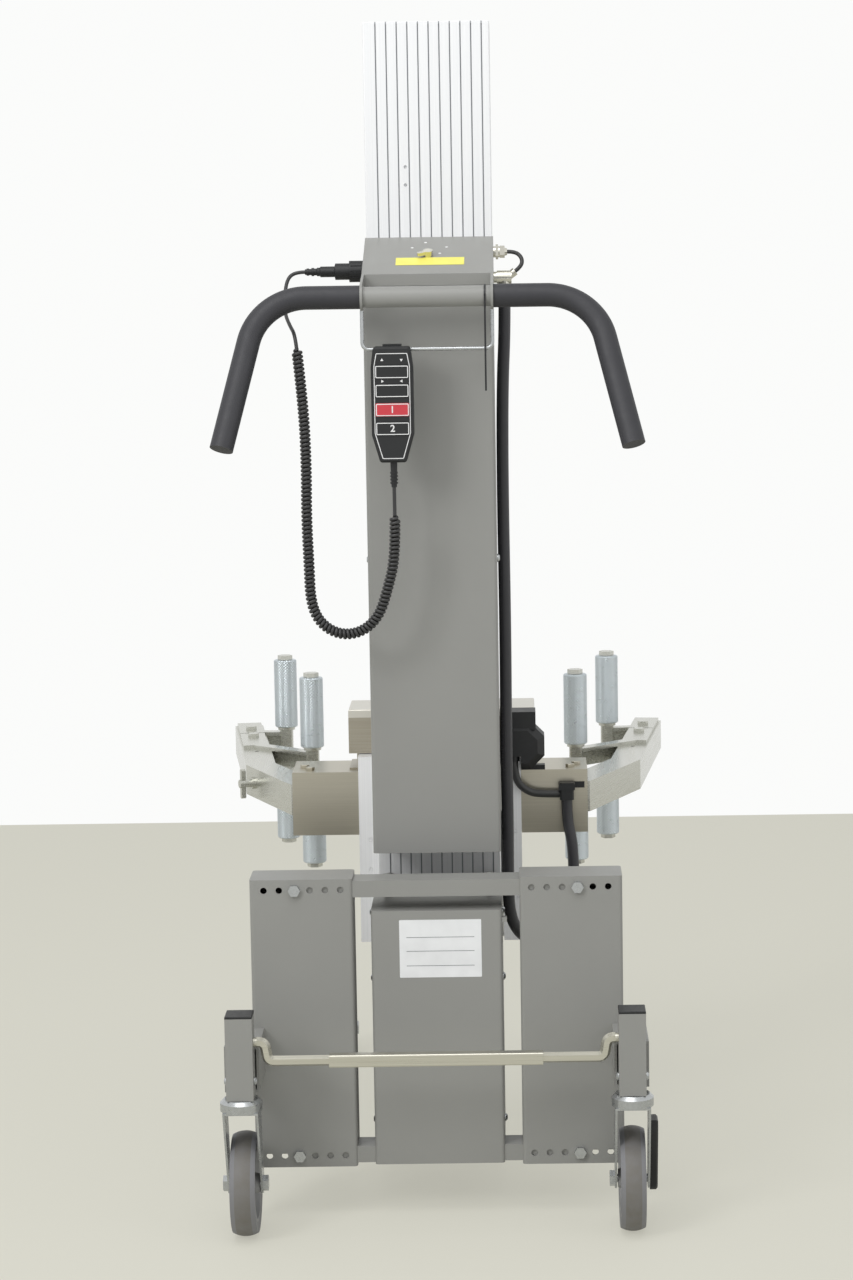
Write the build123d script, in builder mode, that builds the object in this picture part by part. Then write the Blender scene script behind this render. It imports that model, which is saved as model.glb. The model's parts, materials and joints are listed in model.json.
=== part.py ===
"""Lifting trolley with a rising gripper, built as named sub-parts in one frame.

Millimetres, +Z up, +X to the operator's right, the operator stands on the -Y side.
The origin is on the floor under the middle of the trolley.
"""
import math
import os

from build123d import *

os.makedirs("parts", exist_ok=True)

# Sheet metal and general clearances
SHEET = 3.0
THIN_SHEET = 2.0
FOLD_R = 4.5
RUNNING_FIT = 0.05
SLIDE_GAP = 0.1
SPIN_GAP = 0.3
SEAT_GAP = 0.2

# Side boxes
BOX_X = 162.5
BOX_W = 124.0
BOX_D = 60.0
BOX_REAR_Y = -341.0
BOX_BOTTOM_Z = 61.0
BOX_TOP_Z = 417.0
BOX_CORNER_R = 4.5
BOX_HOLE_D = 8.0
BOX_HOLE_PITCH = 18.5
BOX_HOLE_COUNT = 6
BOX_FRONT_Y = BOX_REAR_Y + BOX_D
BOX_INNER_X = BOX_X - BOX_W / 2

# Crossbars between the boxes
BAR_D = 40.0
BAR_H = 20.0
BAR_WALL = 2.5
BAR_HALF = 180.0
LOWER_BAR_LIFT = 4.0
BAR_Y = BOX_REAR_Y + SHEET + BAR_D / 2
BAR_FRONT_Y = BAR_Y + BAR_D / 2
UPPER_BAR_Z = BOX_TOP_Z - SHEET - BAR_H / 2
LOWER_BAR_Z = BOX_BOTTOM_Z + LOWER_BAR_LIFT + BAR_H / 2
HOLE_ROW_Z = (UPPER_BAR_Z, LOWER_BAR_Z)
BAR_BOLT_X = BOX_X + BOX_HOLE_PITCH * 0.5 - 1.25
HEX_BOLT_AF = 13.0
HEX_BOLT_HEAD = 5.3

# Castor posts at the rear corners
POST_X = 231.0
POST_Y = -446.0
POST_W = 32.0
POST_D = 34.0
POST_WALL = 3.0
POST_BOTTOM_Z = 178.0
POST_TOP_Z = 280.0
POST_FLOOR = 5.0
CAP_T = 3.0
CAP_PLUG = 8.0
STUB_W = 41.0
STUB_H = 55.0
STUB_LIFT = 2.0
DOME_D = 10.0
DOME_H = 3.5
DOME_Z = 198.0
DOME_SHANK_D = 5.0

# Rear castors
REAR_WHEEL_D = 125.0
REAR_WHEEL_W = 32.0
REAR_TRAIL = 38.0
REAR_HEAD_D = 50.0
REAR_HEAD_H = 14.0
STEM_D = 12.0
STEM_NUT_D = 19.0
STEM_NUT_H = 6.0
FORK_PLATE = 2.5
FORK_SIDE_GAP = 2.5
AXLE_D = 10.0
AXLE_NUT_AF = 17.0
AXLE_NUT_H = 6.0
TYRE_T = 17.0
CASTOR_COVER_T = 9.0

# Front legs and their castors
LEG_X = 160.0
LEG_W = 40.0
LEG_H = 40.0
LEG_WALL = 3.0
LEG_BOTTOM_Z = 100.0
LEG_END_Y = 430.0
LEG_FLANGE_W = 60.0
LEG_FLANGE_H = 80.0
LEG_FLANGE_T = 5.0
FRONT_CASTOR_Y = 400.0
FRONT_WHEEL_D = 75.0
FRONT_WHEEL_W = 25.0
FRONT_TRAIL = 28.0
FRONT_HEAD_D = 42.0
FRONT_HEAD_H = 8.0
FRONT_TYRE_T = 12.0

# Lock bar between the posts
LOCK_AF = 11.0
LOCK_AXIS_Z = 245.0
LOCK_DROP = 23.0
LOCK_CRANK_X = 202.0
LOCK_BEND_R = 8.0
LOCK_SLEEVE_HALF = 126.0
LOCK_SLEEVE_SIZE = 15.0
LOCK_JOURNAL_END = 9.0

# Extruded mast
MAST_W = 155.0
MAST_D = 90.0
MAST_REAR_Y = -140.0
MAST_BOTTOM_Z = 66.0
MAST_TOP_Z = 1440.0
MAST_WALL = 5.0
GROOVE_COUNT = 11
GROOVE_PITCH = 13.0
GROOVE_W = 1.4
GROOVE_DEEP = 1.6
GROOVE_OFFSET = 3.0
SLOT_W = 40.0
SLOT_DEEP = 30.0
SIDE_GROOVE_W = 10.0
SIDE_GROOVE_DEEP = 6.0
SIDE_GROOVE_BACK = 15.0
MAST_CAP_T = 3.0
MAST_FRONT_Y = MAST_REAR_Y + MAST_D
SIDE_GROOVE_Y = MAST_FRONT_Y - SIDE_GROOVE_BACK

# Centre housing and the cheeks that carry the mast
HOUSING_W = 158.0
HOUSING_FRONT_Y = -148.0
HOUSING_TOP_Z = 377.0
HOUSING_BOTTOM_Z = 63.0
HOUSING_ROOF_Y = -250.0
CHEEK_X = 63.0
CHEEK_T = 6.0
CHEEK_GAP = 2.0
CHEEK_FLANGE_W = 24.0
BOSS_D = 10.0
BOSS_Y = -288.0
BOSS_Z = (105.0, 283.0, 365.0)
BOSS_HOLE_D = 5.0

# Rear cover
COVER_W = 157.0
COVER_REAR_Y = -250.0
COVER_BOTTOM_Z = 430.0
COVER_FLANGE = 12.0
COVER_GAP = 1.0
COVER_SCREW_Z = 788.0
COVER_SCREW_Y = -196.0

# Head box and its cheeks
HEAD_W = 158.0
HEAD_TOP_Z = 1181.0
HEAD_SLOPE_END_Z = 1138.0
HEAD_REAR_Y = -255.0
HEAD_LIP_Z = 1124.0
HEAD_LOBE_R = 17.0
HANDLE_D = 25.0
HANDLE_WALL = 2.0
HANDLE_Y = -300.0
HANDLE_Z = 1112.0
HANDLE_CORNER_X = 198.5
HANDLE_END = (242.0, -370.0, 938.0)
HANDLE_BEND_R = 70.0
GRIP_D = 28.0
GRIP_CAP = 3.0
HANGER_D = 4.5
HANGER_DROP_Z = 1050.0
HANGER_BEND_R = 8.0

# Selector switch on the slope
SWITCH_AT_Y = -200.0
SWITCH_D = 12.0
SWITCH_H = 7.0
SWITCH_STEM_D = 6.0
SWITCH_LEVER = 13.0

# Handset on the wire
HANDSET_X = -42.0
HANDSET_W = 50.0
HANDSET_T = 24.0
HANDSET_TOP_Z = 1054.0
HANDSET_BOTTOM_Z = 917.0
HANDSET_TOP_W = 44.0
HANDSET_BOTTOM_W = 31.0
KEY_W = 40.0
KEY_H = 15.6
KEY_PITCH = 22.4
KEY_TOP_Z = 1024.5
KEY_T = 3.0
KEY_PROUD = 1.4
KEY_GAP = 0.3
KEY_TRAVEL = 1.0
HOOK_W = 22.0
HOOK_T = 4.0

# Cord fittings
PLUG_Y = -203.0
PLUG_Z = 1141.0
COIL_D = 14.0
TAIL_D = 4.5
GLAND_Y = -160.0
GLAND_Z = 1162.0
SOCKET_Y = -166.0
SOCKET_Z = 1131.0
FITTING_CABLE_D = 5.0
SLEEVE_D = 15.0
MOTOR_CABLE_D = 10.0

# Carriage around the mast
CARRIAGE_W = 209.0
CARRIAGE_T = 8.0
CARRIAGE_BOTTOM_Z = 278.0
CARRIAGE_TOP_Z = 520.0
CARRIAGE_WRAP = 20.0
CARRIAGE_SIDE_GAP = 2.5
PAD_GAP = 4.0
SHOE_H = 60.0
SHOE_INSET = 12.0
LUG_SIDE_GAP = 2.0
LUG_DEEP = 22.0
LUG_H = 40.0
PLATE_Y0 = MAST_FRONT_Y + PAD_GAP
PLATE_Y1 = PLATE_Y0 + CARRIAGE_T
WING_INNER_X = MAST_W / 2 + CARRIAGE_SIDE_GAP
WING_REAR_Y = MAST_FRONT_Y - CARRIAGE_WRAP

# Gripper box across the carriage
GRIP_BOX_HALF = 190.0
GRIP_BOX_REAR_Y = -60.0
GRIP_BOX_FRONT_Y = 30.0
GRIP_BOX_BOTTOM_Z = 417.0
GRIP_BOX_TOP_Z = 499.0
GUIDE_LEN = 70.0
ELBOW_WINDOW_GAP = 2.0

# Gripper arms
ARM_W = 40.0
ARM_WALL = 3.0
ARM_Z = 458.0
ARM_ROOT_X = 15.0
ARM_ROOT_Y = -10.0
ARM_TIP_Y = 467.96
ARM_BEND_1 = (180.55, -10.0)
ARM_BEND_2 = (245.9, 135.8)
ARM_TIP_X = 288.6
BRACKET_T = 5.0
BRACKET_H = 20.0
POST_BLOCK = 18.0
BLOCK_HALF = 28.0
ROLLER_D = 32.0
ROLLER_H = 96.0
ROLLER_AXLE_D = 10.0
ROLLER_SEAT = 4.0
ROLLER_NUT_D = 18.0
ROLLER_NUT_H = 6.0
NEAR_ROLLER = (180.0, 200.0)
FAR_ROLLER = (228.0, 380.0)

# Hood and motor on the gripper box
HOOD_X0 = -117.0
HOOD_X1 = 123.0
HOOD_REAR_Y = -46.0
HOOD_D = 83.0
HOOD_TOP_Z = 578.0
HOOD_FLANGE_Z = 521.0
HOOD_STEP = 10.0
MOTOR_X = 105.0
MOTOR_Z = 533.0
MOTOR_AF = 60.0
MOTOR_REAR_Y = -88.0
MOTOR_GLAND_X = 96.0
JOINT_BLOCK_X = 163.0
JOINT_BLOCK_Y = -70.0

ELBOW_WINDOW_X = ARM_BEND_1[0] - ARM_W / 2 + 2

pieces = {}


def mirrored(part):
    """The same piece on the other side of the trolley."""
    return mirror(part, about=Plane.YZ)


def ribbon(points, half):
    """Outline of a mitred strip of the stated half width along flat points."""
    def side(sign):
        edge = []
        for i, (x, y) in enumerate(points):
            before = points[i - 1] if i > 0 else None
            after = points[i + 1] if i + 1 < len(points) else None
            a = math.atan2(y - before[1], x - before[0]) if before else None
            b = math.atan2(after[1] - y, after[0] - x) if after else None
            a = b if a is None else a
            b = a if b is None else b
            turn = (b - a) / 2
            reach = half / math.cos(turn)
            angle = a + turn + math.pi / 2
            edge.append((x + sign * reach * math.cos(angle), y + sign * reach * math.sin(angle)))
        return edge
    return side(1) + side(-1)[::-1]


def cord(label, points, diameter):
    """A plain round tube along straight runs joined by tangent arcs."""
    vectors = [Vector(*p) for p in points]
    radii = []
    for a, b, c in zip(vectors, vectors[1:], vectors[2:]):
        turn = (b - a).get_angle(c - b)
        run = min((b - a).length, (c - b).length)
        radii.append(0.45 * run / math.tan(math.radians(turn / 2)))
    with BuildPart() as tube:
        with BuildLine() as route:
            if radii:
                FilletPolyline(*vectors, radius=radii)
            else:
                Line(*vectors)
        with BuildSketch(Plane(origin=route.wire() @ 0, z_dir=route.wire() % 0)):
            Circle(diameter / 2)
        sweep()
    length = route.wire().length
    smallest = min(radii) if radii else 0
    share = tube.part.volume / (math.pi * diameter ** 2 / 4 * length)
    print(f"{label}: length {length:.0f}, smallest radius {smallest:.0f}, volume share {share:.3f}")
    print("   radii " + " ".join(f"{r:.0f}" for r in radii))
    return tube.part


# Side box: folded sheet, open underneath, with two rows of holes at the back
with BuildPart() as side_box_right:
    with BuildSketch(Plane.XY.offset(BOX_BOTTOM_Z)):
        with Locations((BOX_X, BOX_REAR_Y + BOX_D / 2)):
            Rectangle(BOX_W, BOX_D)
    extrude(amount=BOX_TOP_Z - BOX_BOTTOM_Z)
    fillet(side_box_right.edges().filter_by(Axis.Z), BOX_CORNER_R)
    offset(amount=-SHEET, openings=side_box_right.faces().sort_by(Axis.Z)[0])
    for row_z in HOLE_ROW_Z:
        with BuildSketch(Plane.XZ.offset(-BOX_REAR_Y)):
            with Locations((BOX_X - 1.25, row_z)):
                with GridLocations(BOX_HOLE_PITCH, 1, BOX_HOLE_COUNT, 1):
                    Circle(BOX_HOLE_D / 2)
        extrude(amount=-SHEET, mode=Mode.SUBTRACT)
        with BuildSketch(Plane.YZ.offset(BOX_INNER_X)):
            with Locations((BAR_Y, row_z)):
                Rectangle(BAR_D, BAR_H)
        extrude(amount=BOX_CORNER_R, mode=Mode.SUBTRACT)
pieces["side_box_right"] = side_box_right.part
pieces["side_box_left"] = mirrored(side_box_right.part)


def crossbar(z):
    """Rectangular tube that runs into both side boxes."""
    with BuildPart() as bar:
        with BuildSketch(Plane.YZ.offset(-BAR_HALF)):
            with Locations((BAR_Y, z)):
                Rectangle(BAR_D, BAR_H)
                Rectangle(BAR_D - 2 * BAR_WALL, BAR_H - 2 * BAR_WALL, mode=Mode.SUBTRACT)
        extrude(amount=2 * BAR_HALF)
        with BuildSketch(Plane.XZ.offset(-BOX_REAR_Y - SHEET)):
            with Locations((BAR_BOLT_X, z), (-BAR_BOLT_X, z)):
                Circle(BOX_HOLE_D / 2)
        extrude(amount=-BAR_WALL, mode=Mode.SUBTRACT)
    return bar.part


pieces["crossbars"] = Compound(children=[crossbar(z) for z in HOLE_ROW_Z])

# Hex bolts that hold the boxes to the bars
with BuildPart() as hex_bolts:
    for bolt_x in (-BAR_BOLT_X, BAR_BOLT_X):
        for bolt_z in HOLE_ROW_Z:
            with BuildSketch(Plane.XZ.offset(-BOX_REAR_Y)):
                with Locations((bolt_x, bolt_z)):
                    RegularPolygon(HEX_BOLT_AF / 2, 6, major_radius=False)
            extrude(amount=HEX_BOLT_HEAD)
            with BuildSketch(Plane.XZ.offset(-BOX_REAR_Y)):
                with Locations((bolt_x, bolt_z)):
                    Circle(BOX_HOLE_D / 2 - SLIDE_GAP)
            extrude(amount=-(SHEET + BAR_WALL + 6))
pieces["hex_bolts"] = hex_bolts.part

# Castor post with its stub to the side box
STUB_Z = POST_BOTTOM_Z + STUB_LIFT + STUB_H / 2
POST_FRONT_Y = POST_Y + POST_D / 2
POST_INNER_X = POST_X - POST_W / 2
with BuildPart() as castor_post_right:
    with BuildSketch(Plane.XY.offset(POST_BOTTOM_Z)):
        with Locations((POST_X, POST_Y)):
            Rectangle(POST_W, POST_D)
    extrude(amount=POST_TOP_Z - CAP_T - POST_BOTTOM_Z)
    with BuildSketch(Plane.XY.offset(POST_BOTTOM_Z + POST_FLOOR)):
        with Locations((POST_X, POST_Y)):
            Rectangle(POST_W - 2 * POST_WALL, POST_D - 2 * POST_WALL)
    extrude(amount=POST_TOP_Z, mode=Mode.SUBTRACT)
    with BuildSketch(Plane.XZ.offset(-POST_FRONT_Y)):
        with Locations((POST_X, STUB_Z)):
            Rectangle(STUB_W, STUB_H)
            Rectangle(STUB_W - 2 * POST_WALL, STUB_H - 2 * POST_WALL, mode=Mode.SUBTRACT)
    extrude(amount=-(BOX_REAR_Y - POST_FRONT_Y))
    with BuildSketch(Plane.XZ.offset(-BOX_REAR_Y)):
        with Locations((POST_X, STUB_Z)):
            Rectangle(STUB_W, STUB_H)
    extrude(amount=POST_WALL)
    with BuildSketch(Plane.XY.offset(POST_BOTTOM_Z)):
        with Locations((POST_X, POST_Y)):
            Circle(STEM_D / 2 + RUNNING_FIT)
    extrude(amount=POST_FLOOR, mode=Mode.SUBTRACT)
    with BuildSketch(Plane.YZ.offset(POST_INNER_X)):
        with Locations((POST_Y, LOCK_AXIS_Z)):
            Circle(LOCK_AF / 2 + RUNNING_FIT)
    extrude(amount=POST_WALL, mode=Mode.SUBTRACT)
    with BuildSketch(Plane.YZ.offset(POST_INNER_X)):
        with Locations((POST_Y, DOME_Z)):
            Circle(DOME_SHANK_D / 2)
    extrude(amount=POST_W, mode=Mode.SUBTRACT)
with BuildPart() as post_cap_right:
    with BuildSketch(Plane.XY.offset(POST_TOP_Z - CAP_T)):
        with Locations((POST_X, POST_Y)):
            Rectangle(POST_W, POST_D)
    extrude(amount=CAP_T)
    chamfer(post_cap_right.faces().sort_by(Axis.Z)[-1].edges(), 0.8)
    with BuildSketch(Plane.XY.offset(POST_TOP_Z - CAP_T)):
        with Locations((POST_X, POST_Y)):
            Rectangle(POST_W - 2 * POST_WALL - 2 * SEAT_GAP, POST_D - 2 * POST_WALL - 2 * SEAT_GAP)
    extrude(amount=-CAP_PLUG)
pieces["castor_post_right"] = castor_post_right.part
pieces["castor_post_left"] = mirrored(castor_post_right.part)
pieces["post_caps"] = Compound(children=[post_cap_right.part, mirrored(post_cap_right.part)])


def dome_screw(face_x, y, z, out, shank):
    """Dome head on a face that looks along X, its shank runs back through it."""
    with BuildPart() as screw:
        with BuildSketch(Plane(origin=(face_x, y, z), x_dir=(0, 1, 0), z_dir=(out, 0, 0))):
            Circle(DOME_D / 2)
        extrude(amount=DOME_H)
        chamfer(screw.edges().group_by(Axis.X)[-1 if out > 0 else 0], DOME_H * 0.6)
        with BuildSketch(Plane(origin=(face_x, y, z), x_dir=(0, 1, 0), z_dir=(out, 0, 0))):
            Circle(DOME_SHANK_D / 2 - SLIDE_GAP)
        extrude(amount=-shank)
    return screw.part


POST_OUTER_X = POST_X + POST_W / 2
screws = []
for sign in (-1, 1):
    screws.append(dome_screw(sign * POST_OUTER_X, POST_Y, DOME_Z, sign, POST_W / 2 - 1))
    screws.append(dome_screw(sign * POST_INNER_X, POST_Y, DOME_Z, -sign, POST_W / 2 - 1))
    for screw_z in BOSS_Z:
        screws.append(dome_screw(sign * HOUSING_W / 2, BOSS_Y, screw_z, sign, SHEET + 8))
    screws.append(dome_screw(sign * COVER_W / 2, COVER_SCREW_Y, COVER_SCREW_Z, sign, THIN_SHEET + 4))
pieces["dome_screws"] = Compound(children=screws)


def castor_fork(x, y, head_top, wheel_d, wheel_w, trail, head_d, head_h, stem_d, floor, axle_z):
    """Swivel head, stem with nut, two tapering plates and the axle with its nuts."""
    axle_y = y + trail
    crown_z = head_top - head_h
    inner = wheel_w / 2 + FORK_SIDE_GAP
    outer = inner + FORK_PLATE
    with BuildPart() as fork:
        with BuildSketch(Plane.YZ.offset(x - outer)):
            with Locations((axle_y, axle_z)):
                Circle(AXLE_D / 2 + 7)
            with Locations((y + 3, crown_z - FORK_PLATE / 2)):
                Rectangle(head_d - 6, FORK_PLATE)
            make_hull()
        extrude(amount=2 * outer)
        with BuildSketch(Plane.XZ.offset(-axle_y - wheel_d)):
            with Locations((x, (crown_z - FORK_PLATE) / 2)):
                Rectangle(2 * inner, crown_z - FORK_PLATE)
        extrude(amount=2 * wheel_d, mode=Mode.SUBTRACT)
        with BuildSketch(Plane.XY.offset(crown_z)):
            with Locations((x, y)):
                Circle(head_d / 2)
        extrude(amount=head_h)
        chamfer(fork.faces().filter_by(Plane.XY).sort_by(Axis.Z)[-1].edges(), head_h * 0.3)
        with BuildSketch(Plane.XY.offset(head_top)):
            with Locations((x, y)):
                Circle(stem_d / 2)
        extrude(amount=floor + 3 * SPIN_GAP + STEM_NUT_H)
        with BuildSketch(Plane.XY.offset(head_top + floor + 3 * SPIN_GAP)):
            with Locations((x, y)):
                RegularPolygon(STEM_NUT_D / 2, 6, major_radius=False)
        extrude(amount=STEM_NUT_H)
        with BuildSketch(Plane.YZ.offset(x - outer)):
            with Locations((axle_y, axle_z)):
                Circle(AXLE_D / 2)
        extrude(amount=2 * outer)
        for side in (-1, 1):
            with BuildSketch(Plane(origin=(x + side * outer, axle_y, axle_z), z_dir=(side, 0, 0))):
                RegularPolygon(AXLE_NUT_AF / 2, 6, major_radius=False)
            extrude(amount=AXLE_NUT_H)
    return fork.part


def castor_wheel(x, y, wheel_d, wheel_w, tyre_t):
    """Tyre with a crowned tread on a hub with a thin web."""
    hub_r = wheel_d / 2 - tyre_t
    bore_r = AXLE_D / 2 + RUNNING_FIT
    half = wheel_w / 2
    axle = Axis((x, y, wheel_d / 2), (1, 0, 0))
    plane = Plane(origin=(x, y, wheel_d / 2), x_dir=(1, 0, 0), z_dir=(0, -1, 0))
    with BuildPart() as tyre:
        with BuildSketch(plane):
            with BuildLine():
                Line((-half + 2, hub_r), (half - 2, hub_r))
                Line((half - 2, hub_r), (half - 1, wheel_d / 2 - 4))
                ThreePointArc((half - 1, wheel_d / 2 - 4), (0, wheel_d / 2), (-half + 1, wheel_d / 2 - 4))
                Line((-half + 1, wheel_d / 2 - 4), (-half + 2, hub_r))
            make_face()
        revolve(axis=axle)
    with BuildPart() as hub:
        with BuildSketch(plane):
            with BuildLine():
                Polyline(
                    (-half - 1, bore_r), (half + 1, bore_r), (half + 1, bore_r + 6), (5, bore_r + 9),
                    (5, hub_r - 5), (half - 2, hub_r - 3), (half - 2, hub_r), (-half + 2, hub_r),
                    (-half + 2, hub_r - 3), (-5, hub_r - 5), (-5, bore_r + 9), (-half - 1, bore_r + 6),
                    close=True,
                )
            make_face()
        revolve(axis=axle)
    return Compound(children=[tyre.part, hub.part])


REAR_AXLE_Z = REAR_WHEEL_D / 2
rear_fork = castor_fork(
    POST_X, POST_Y, POST_BOTTOM_Z - SPIN_GAP, REAR_WHEEL_D, REAR_WHEEL_W, REAR_TRAIL,
    REAR_HEAD_D, REAR_HEAD_H, STEM_D, POST_FLOOR, REAR_AXLE_Z,
)
pieces["rear_castor_fork_right"] = rear_fork
pieces["rear_castor_fork_left"] = mirrored(rear_fork)
rear_wheel = castor_wheel(POST_X, POST_Y + REAR_TRAIL, REAR_WHEEL_D, REAR_WHEEL_W, TYRE_T)
pieces["rear_wheel_right"] = rear_wheel
pieces["rear_wheel_left"] = mirrored(rear_wheel)

# Black cover on the outer side of the right rear fork
COVER_PLATE_X = POST_X + REAR_WHEEL_W / 2 + FORK_SIDE_GAP + FORK_PLATE
with BuildPart() as castor_cover:
    with BuildSketch(Plane.YZ.offset(COVER_PLATE_X)):
        with Locations((POST_Y + REAR_TRAIL, REAR_AXLE_Z)):
            Circle(AXLE_D / 2 + 9)
        with Locations((POST_Y + REAR_TRAIL / 3, REAR_WHEEL_D + 12)):
            Rectangle(26, 14)
        make_hull()
    extrude(amount=CASTOR_COVER_T)
    chamfer(castor_cover.faces().sort_by(Axis.X)[-1].edges(), 2)
    with BuildSketch(Plane.YZ.offset(COVER_PLATE_X)):
        with Locations((POST_Y + REAR_TRAIL, REAR_AXLE_Z)):
            Circle(AXLE_NUT_AF * 0.577 + SEAT_GAP)
    extrude(amount=AXLE_NUT_H, mode=Mode.SUBTRACT)
pieces["rear_castor_cover"] = castor_cover.part

# Front leg: closed tube with an end flange on the side box
with BuildPart() as front_leg_right:
    with BuildSketch(Plane.XZ.offset(-BOX_FRONT_Y)):
        with Locations((LEG_X, LEG_BOTTOM_Z + LEG_H / 2)):
            Rectangle(LEG_W, LEG_H)
            Rectangle(LEG_W - 2 * LEG_WALL, LEG_H - 2 * LEG_WALL, mode=Mode.SUBTRACT)
    extrude(amount=-(LEG_END_Y - BOX_FRONT_Y))
    with BuildSketch(Plane.XZ.offset(-LEG_END_Y)):
        with Locations((LEG_X, LEG_BOTTOM_Z + LEG_H / 2)):
            Rectangle(LEG_W, LEG_H)
    extrude(amount=LEG_WALL)
    with BuildSketch(Plane.XZ.offset(-BOX_FRONT_Y)):
        with Locations((LEG_X, LEG_BOTTOM_Z + LEG_H / 2)):
            Rectangle(LEG_FLANGE_W, LEG_FLANGE_H)
    extrude(amount=-LEG_FLANGE_T)
    with BuildSketch(Plane.XY.offset(LEG_BOTTOM_Z)):
        with Locations((LEG_X, FRONT_CASTOR_Y)):
            Circle(STEM_D / 2 + RUNNING_FIT)
    extrude(amount=LEG_WALL, mode=Mode.SUBTRACT)
pieces["front_leg_right"] = front_leg_right.part
pieces["front_leg_left"] = mirrored(front_leg_right.part)
front_fork = castor_fork(
    LEG_X, FRONT_CASTOR_Y, LEG_BOTTOM_Z - SPIN_GAP, FRONT_WHEEL_D, FRONT_WHEEL_W, FRONT_TRAIL,
    FRONT_HEAD_D, FRONT_HEAD_H, STEM_D, LEG_WALL, FRONT_WHEEL_D / 2,
)
pieces["front_castor_fork_right"] = front_fork
pieces["front_castor_fork_left"] = mirrored(front_fork)
front_wheel = castor_wheel(LEG_X, FRONT_CASTOR_Y + FRONT_TRAIL, FRONT_WHEEL_D, FRONT_WHEEL_W, FRONT_TYRE_T)
pieces["front_wheel_right"] = front_wheel
pieces["front_wheel_left"] = mirrored(front_wheel)

# Lock bar: hexagon rod with a crank at each end and a flat sleeve in the middle
LOCK_BAR_Z = LOCK_AXIS_Z - LOCK_DROP
LOCK_JOURNAL_X = POST_INNER_X - 4
with BuildPart() as lock_bar:
    with BuildLine() as lock_route:
        FilletPolyline(
            (-LOCK_JOURNAL_X, POST_Y, LOCK_AXIS_Z), (-LOCK_CRANK_X, POST_Y, LOCK_AXIS_Z),
            (-LOCK_CRANK_X + 4, POST_Y, LOCK_BAR_Z), (LOCK_CRANK_X - 4, POST_Y, LOCK_BAR_Z),
            (LOCK_CRANK_X, POST_Y, LOCK_AXIS_Z), (LOCK_JOURNAL_X, POST_Y, LOCK_AXIS_Z),
            radius=LOCK_BEND_R,
        )
    with BuildSketch(Plane(origin=lock_route.wire() @ 0, z_dir=lock_route.wire() % 0)):
        RegularPolygon(LOCK_AF / 2, 6, major_radius=False)
    sweep()
    for sign in (-1, 1):
        with BuildSketch(Plane(origin=(sign * LOCK_JOURNAL_X, POST_Y, LOCK_AXIS_Z), z_dir=(sign, 0, 0))):
            Circle(LOCK_AF / 2)
        extrude(amount=LOCK_JOURNAL_END + 4)
    with BuildSketch(Plane.YZ.offset(-LOCK_SLEEVE_HALF)):
        with Locations((POST_Y, LOCK_BAR_Z)):
            RectangleRounded(LOCK_SLEEVE_SIZE, LOCK_SLEEVE_SIZE, 2)
    extrude(amount=2 * LOCK_SLEEVE_HALF)
pieces["lock_bar"] = lock_bar.part

# Mast: one aluminium extrusion with fine grooves behind and a drive slot in front
MAST_MID_Y = MAST_REAR_Y + MAST_D / 2
with BuildPart() as mast:
    with BuildSketch(Plane.XY.offset(MAST_BOTTOM_Z)) as mast_profile:
        with Locations((0, MAST_MID_Y)):
            Rectangle(MAST_W, MAST_D)
        fillet(mast_profile.vertices(), 1.5)
        with Locations((GROOVE_OFFSET, MAST_REAR_Y + GROOVE_DEEP / 2)):
            with GridLocations(GROOVE_PITCH, 1, GROOVE_COUNT, 1):
                Rectangle(GROOVE_W, GROOVE_DEEP, mode=Mode.SUBTRACT)
        with Locations((0, MAST_FRONT_Y - SLOT_DEEP / 2)):
            Rectangle(SLOT_W, SLOT_DEEP, mode=Mode.SUBTRACT)
        with Locations((0, MAST_FRONT_Y - SLOT_DEEP + 5)):
            Rectangle(SLOT_W + 16, 10, mode=Mode.SUBTRACT)
        for sign in (-1, 1):
            with Locations((sign * (MAST_W / 2 - SIDE_GROOVE_DEEP / 2), SIDE_GROOVE_Y)):
                Rectangle(SIDE_GROOVE_DEEP, SIDE_GROOVE_W, mode=Mode.SUBTRACT)
            chamber_x = (SLOT_W / 2 + 8 + MAST_WALL + MAST_W / 2 - SIDE_GROOVE_DEEP - MAST_WALL) / 2
            chamber_w = MAST_W / 2 - SIDE_GROOVE_DEEP - MAST_WALL - (SLOT_W / 2 + 8 + MAST_WALL)
            with Locations((sign * chamber_x, MAST_MID_Y)):
                RectangleRounded(chamber_w, MAST_D - 2 * MAST_WALL - 4, 4, mode=Mode.SUBTRACT)
        with Locations((0, (MAST_REAR_Y + MAST_WALL + MAST_FRONT_Y - SLOT_DEEP - MAST_WALL) / 2)):
            chamber_d = MAST_D - SLOT_DEEP - 2 * MAST_WALL - 4
            RectangleRounded(SLOT_W + 16, chamber_d, 4, mode=Mode.SUBTRACT)
    extrude(amount=MAST_TOP_Z - MAST_BOTTOM_Z)
    with BuildSketch(Plane.XZ.offset(-MAST_REAR_Y)):
        with Locations((-28, 1267), (-28, 1245)):
            Circle(2)
    extrude(amount=-MAST_WALL, mode=Mode.SUBTRACT)

with BuildPart() as mast_cap:
    with BuildSketch(Plane.XY.offset(MAST_TOP_Z)):
        with Locations((0, MAST_MID_Y)):
            RectangleRounded(MAST_W, MAST_D, 1.5)
    extrude(amount=MAST_CAP_T)
    chamfer(mast_cap.faces().sort_by(Axis.Z)[-1].edges(), 0.8)
pieces["mast"] = Compound(children=[mast.part, mast_cap.part])

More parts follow.
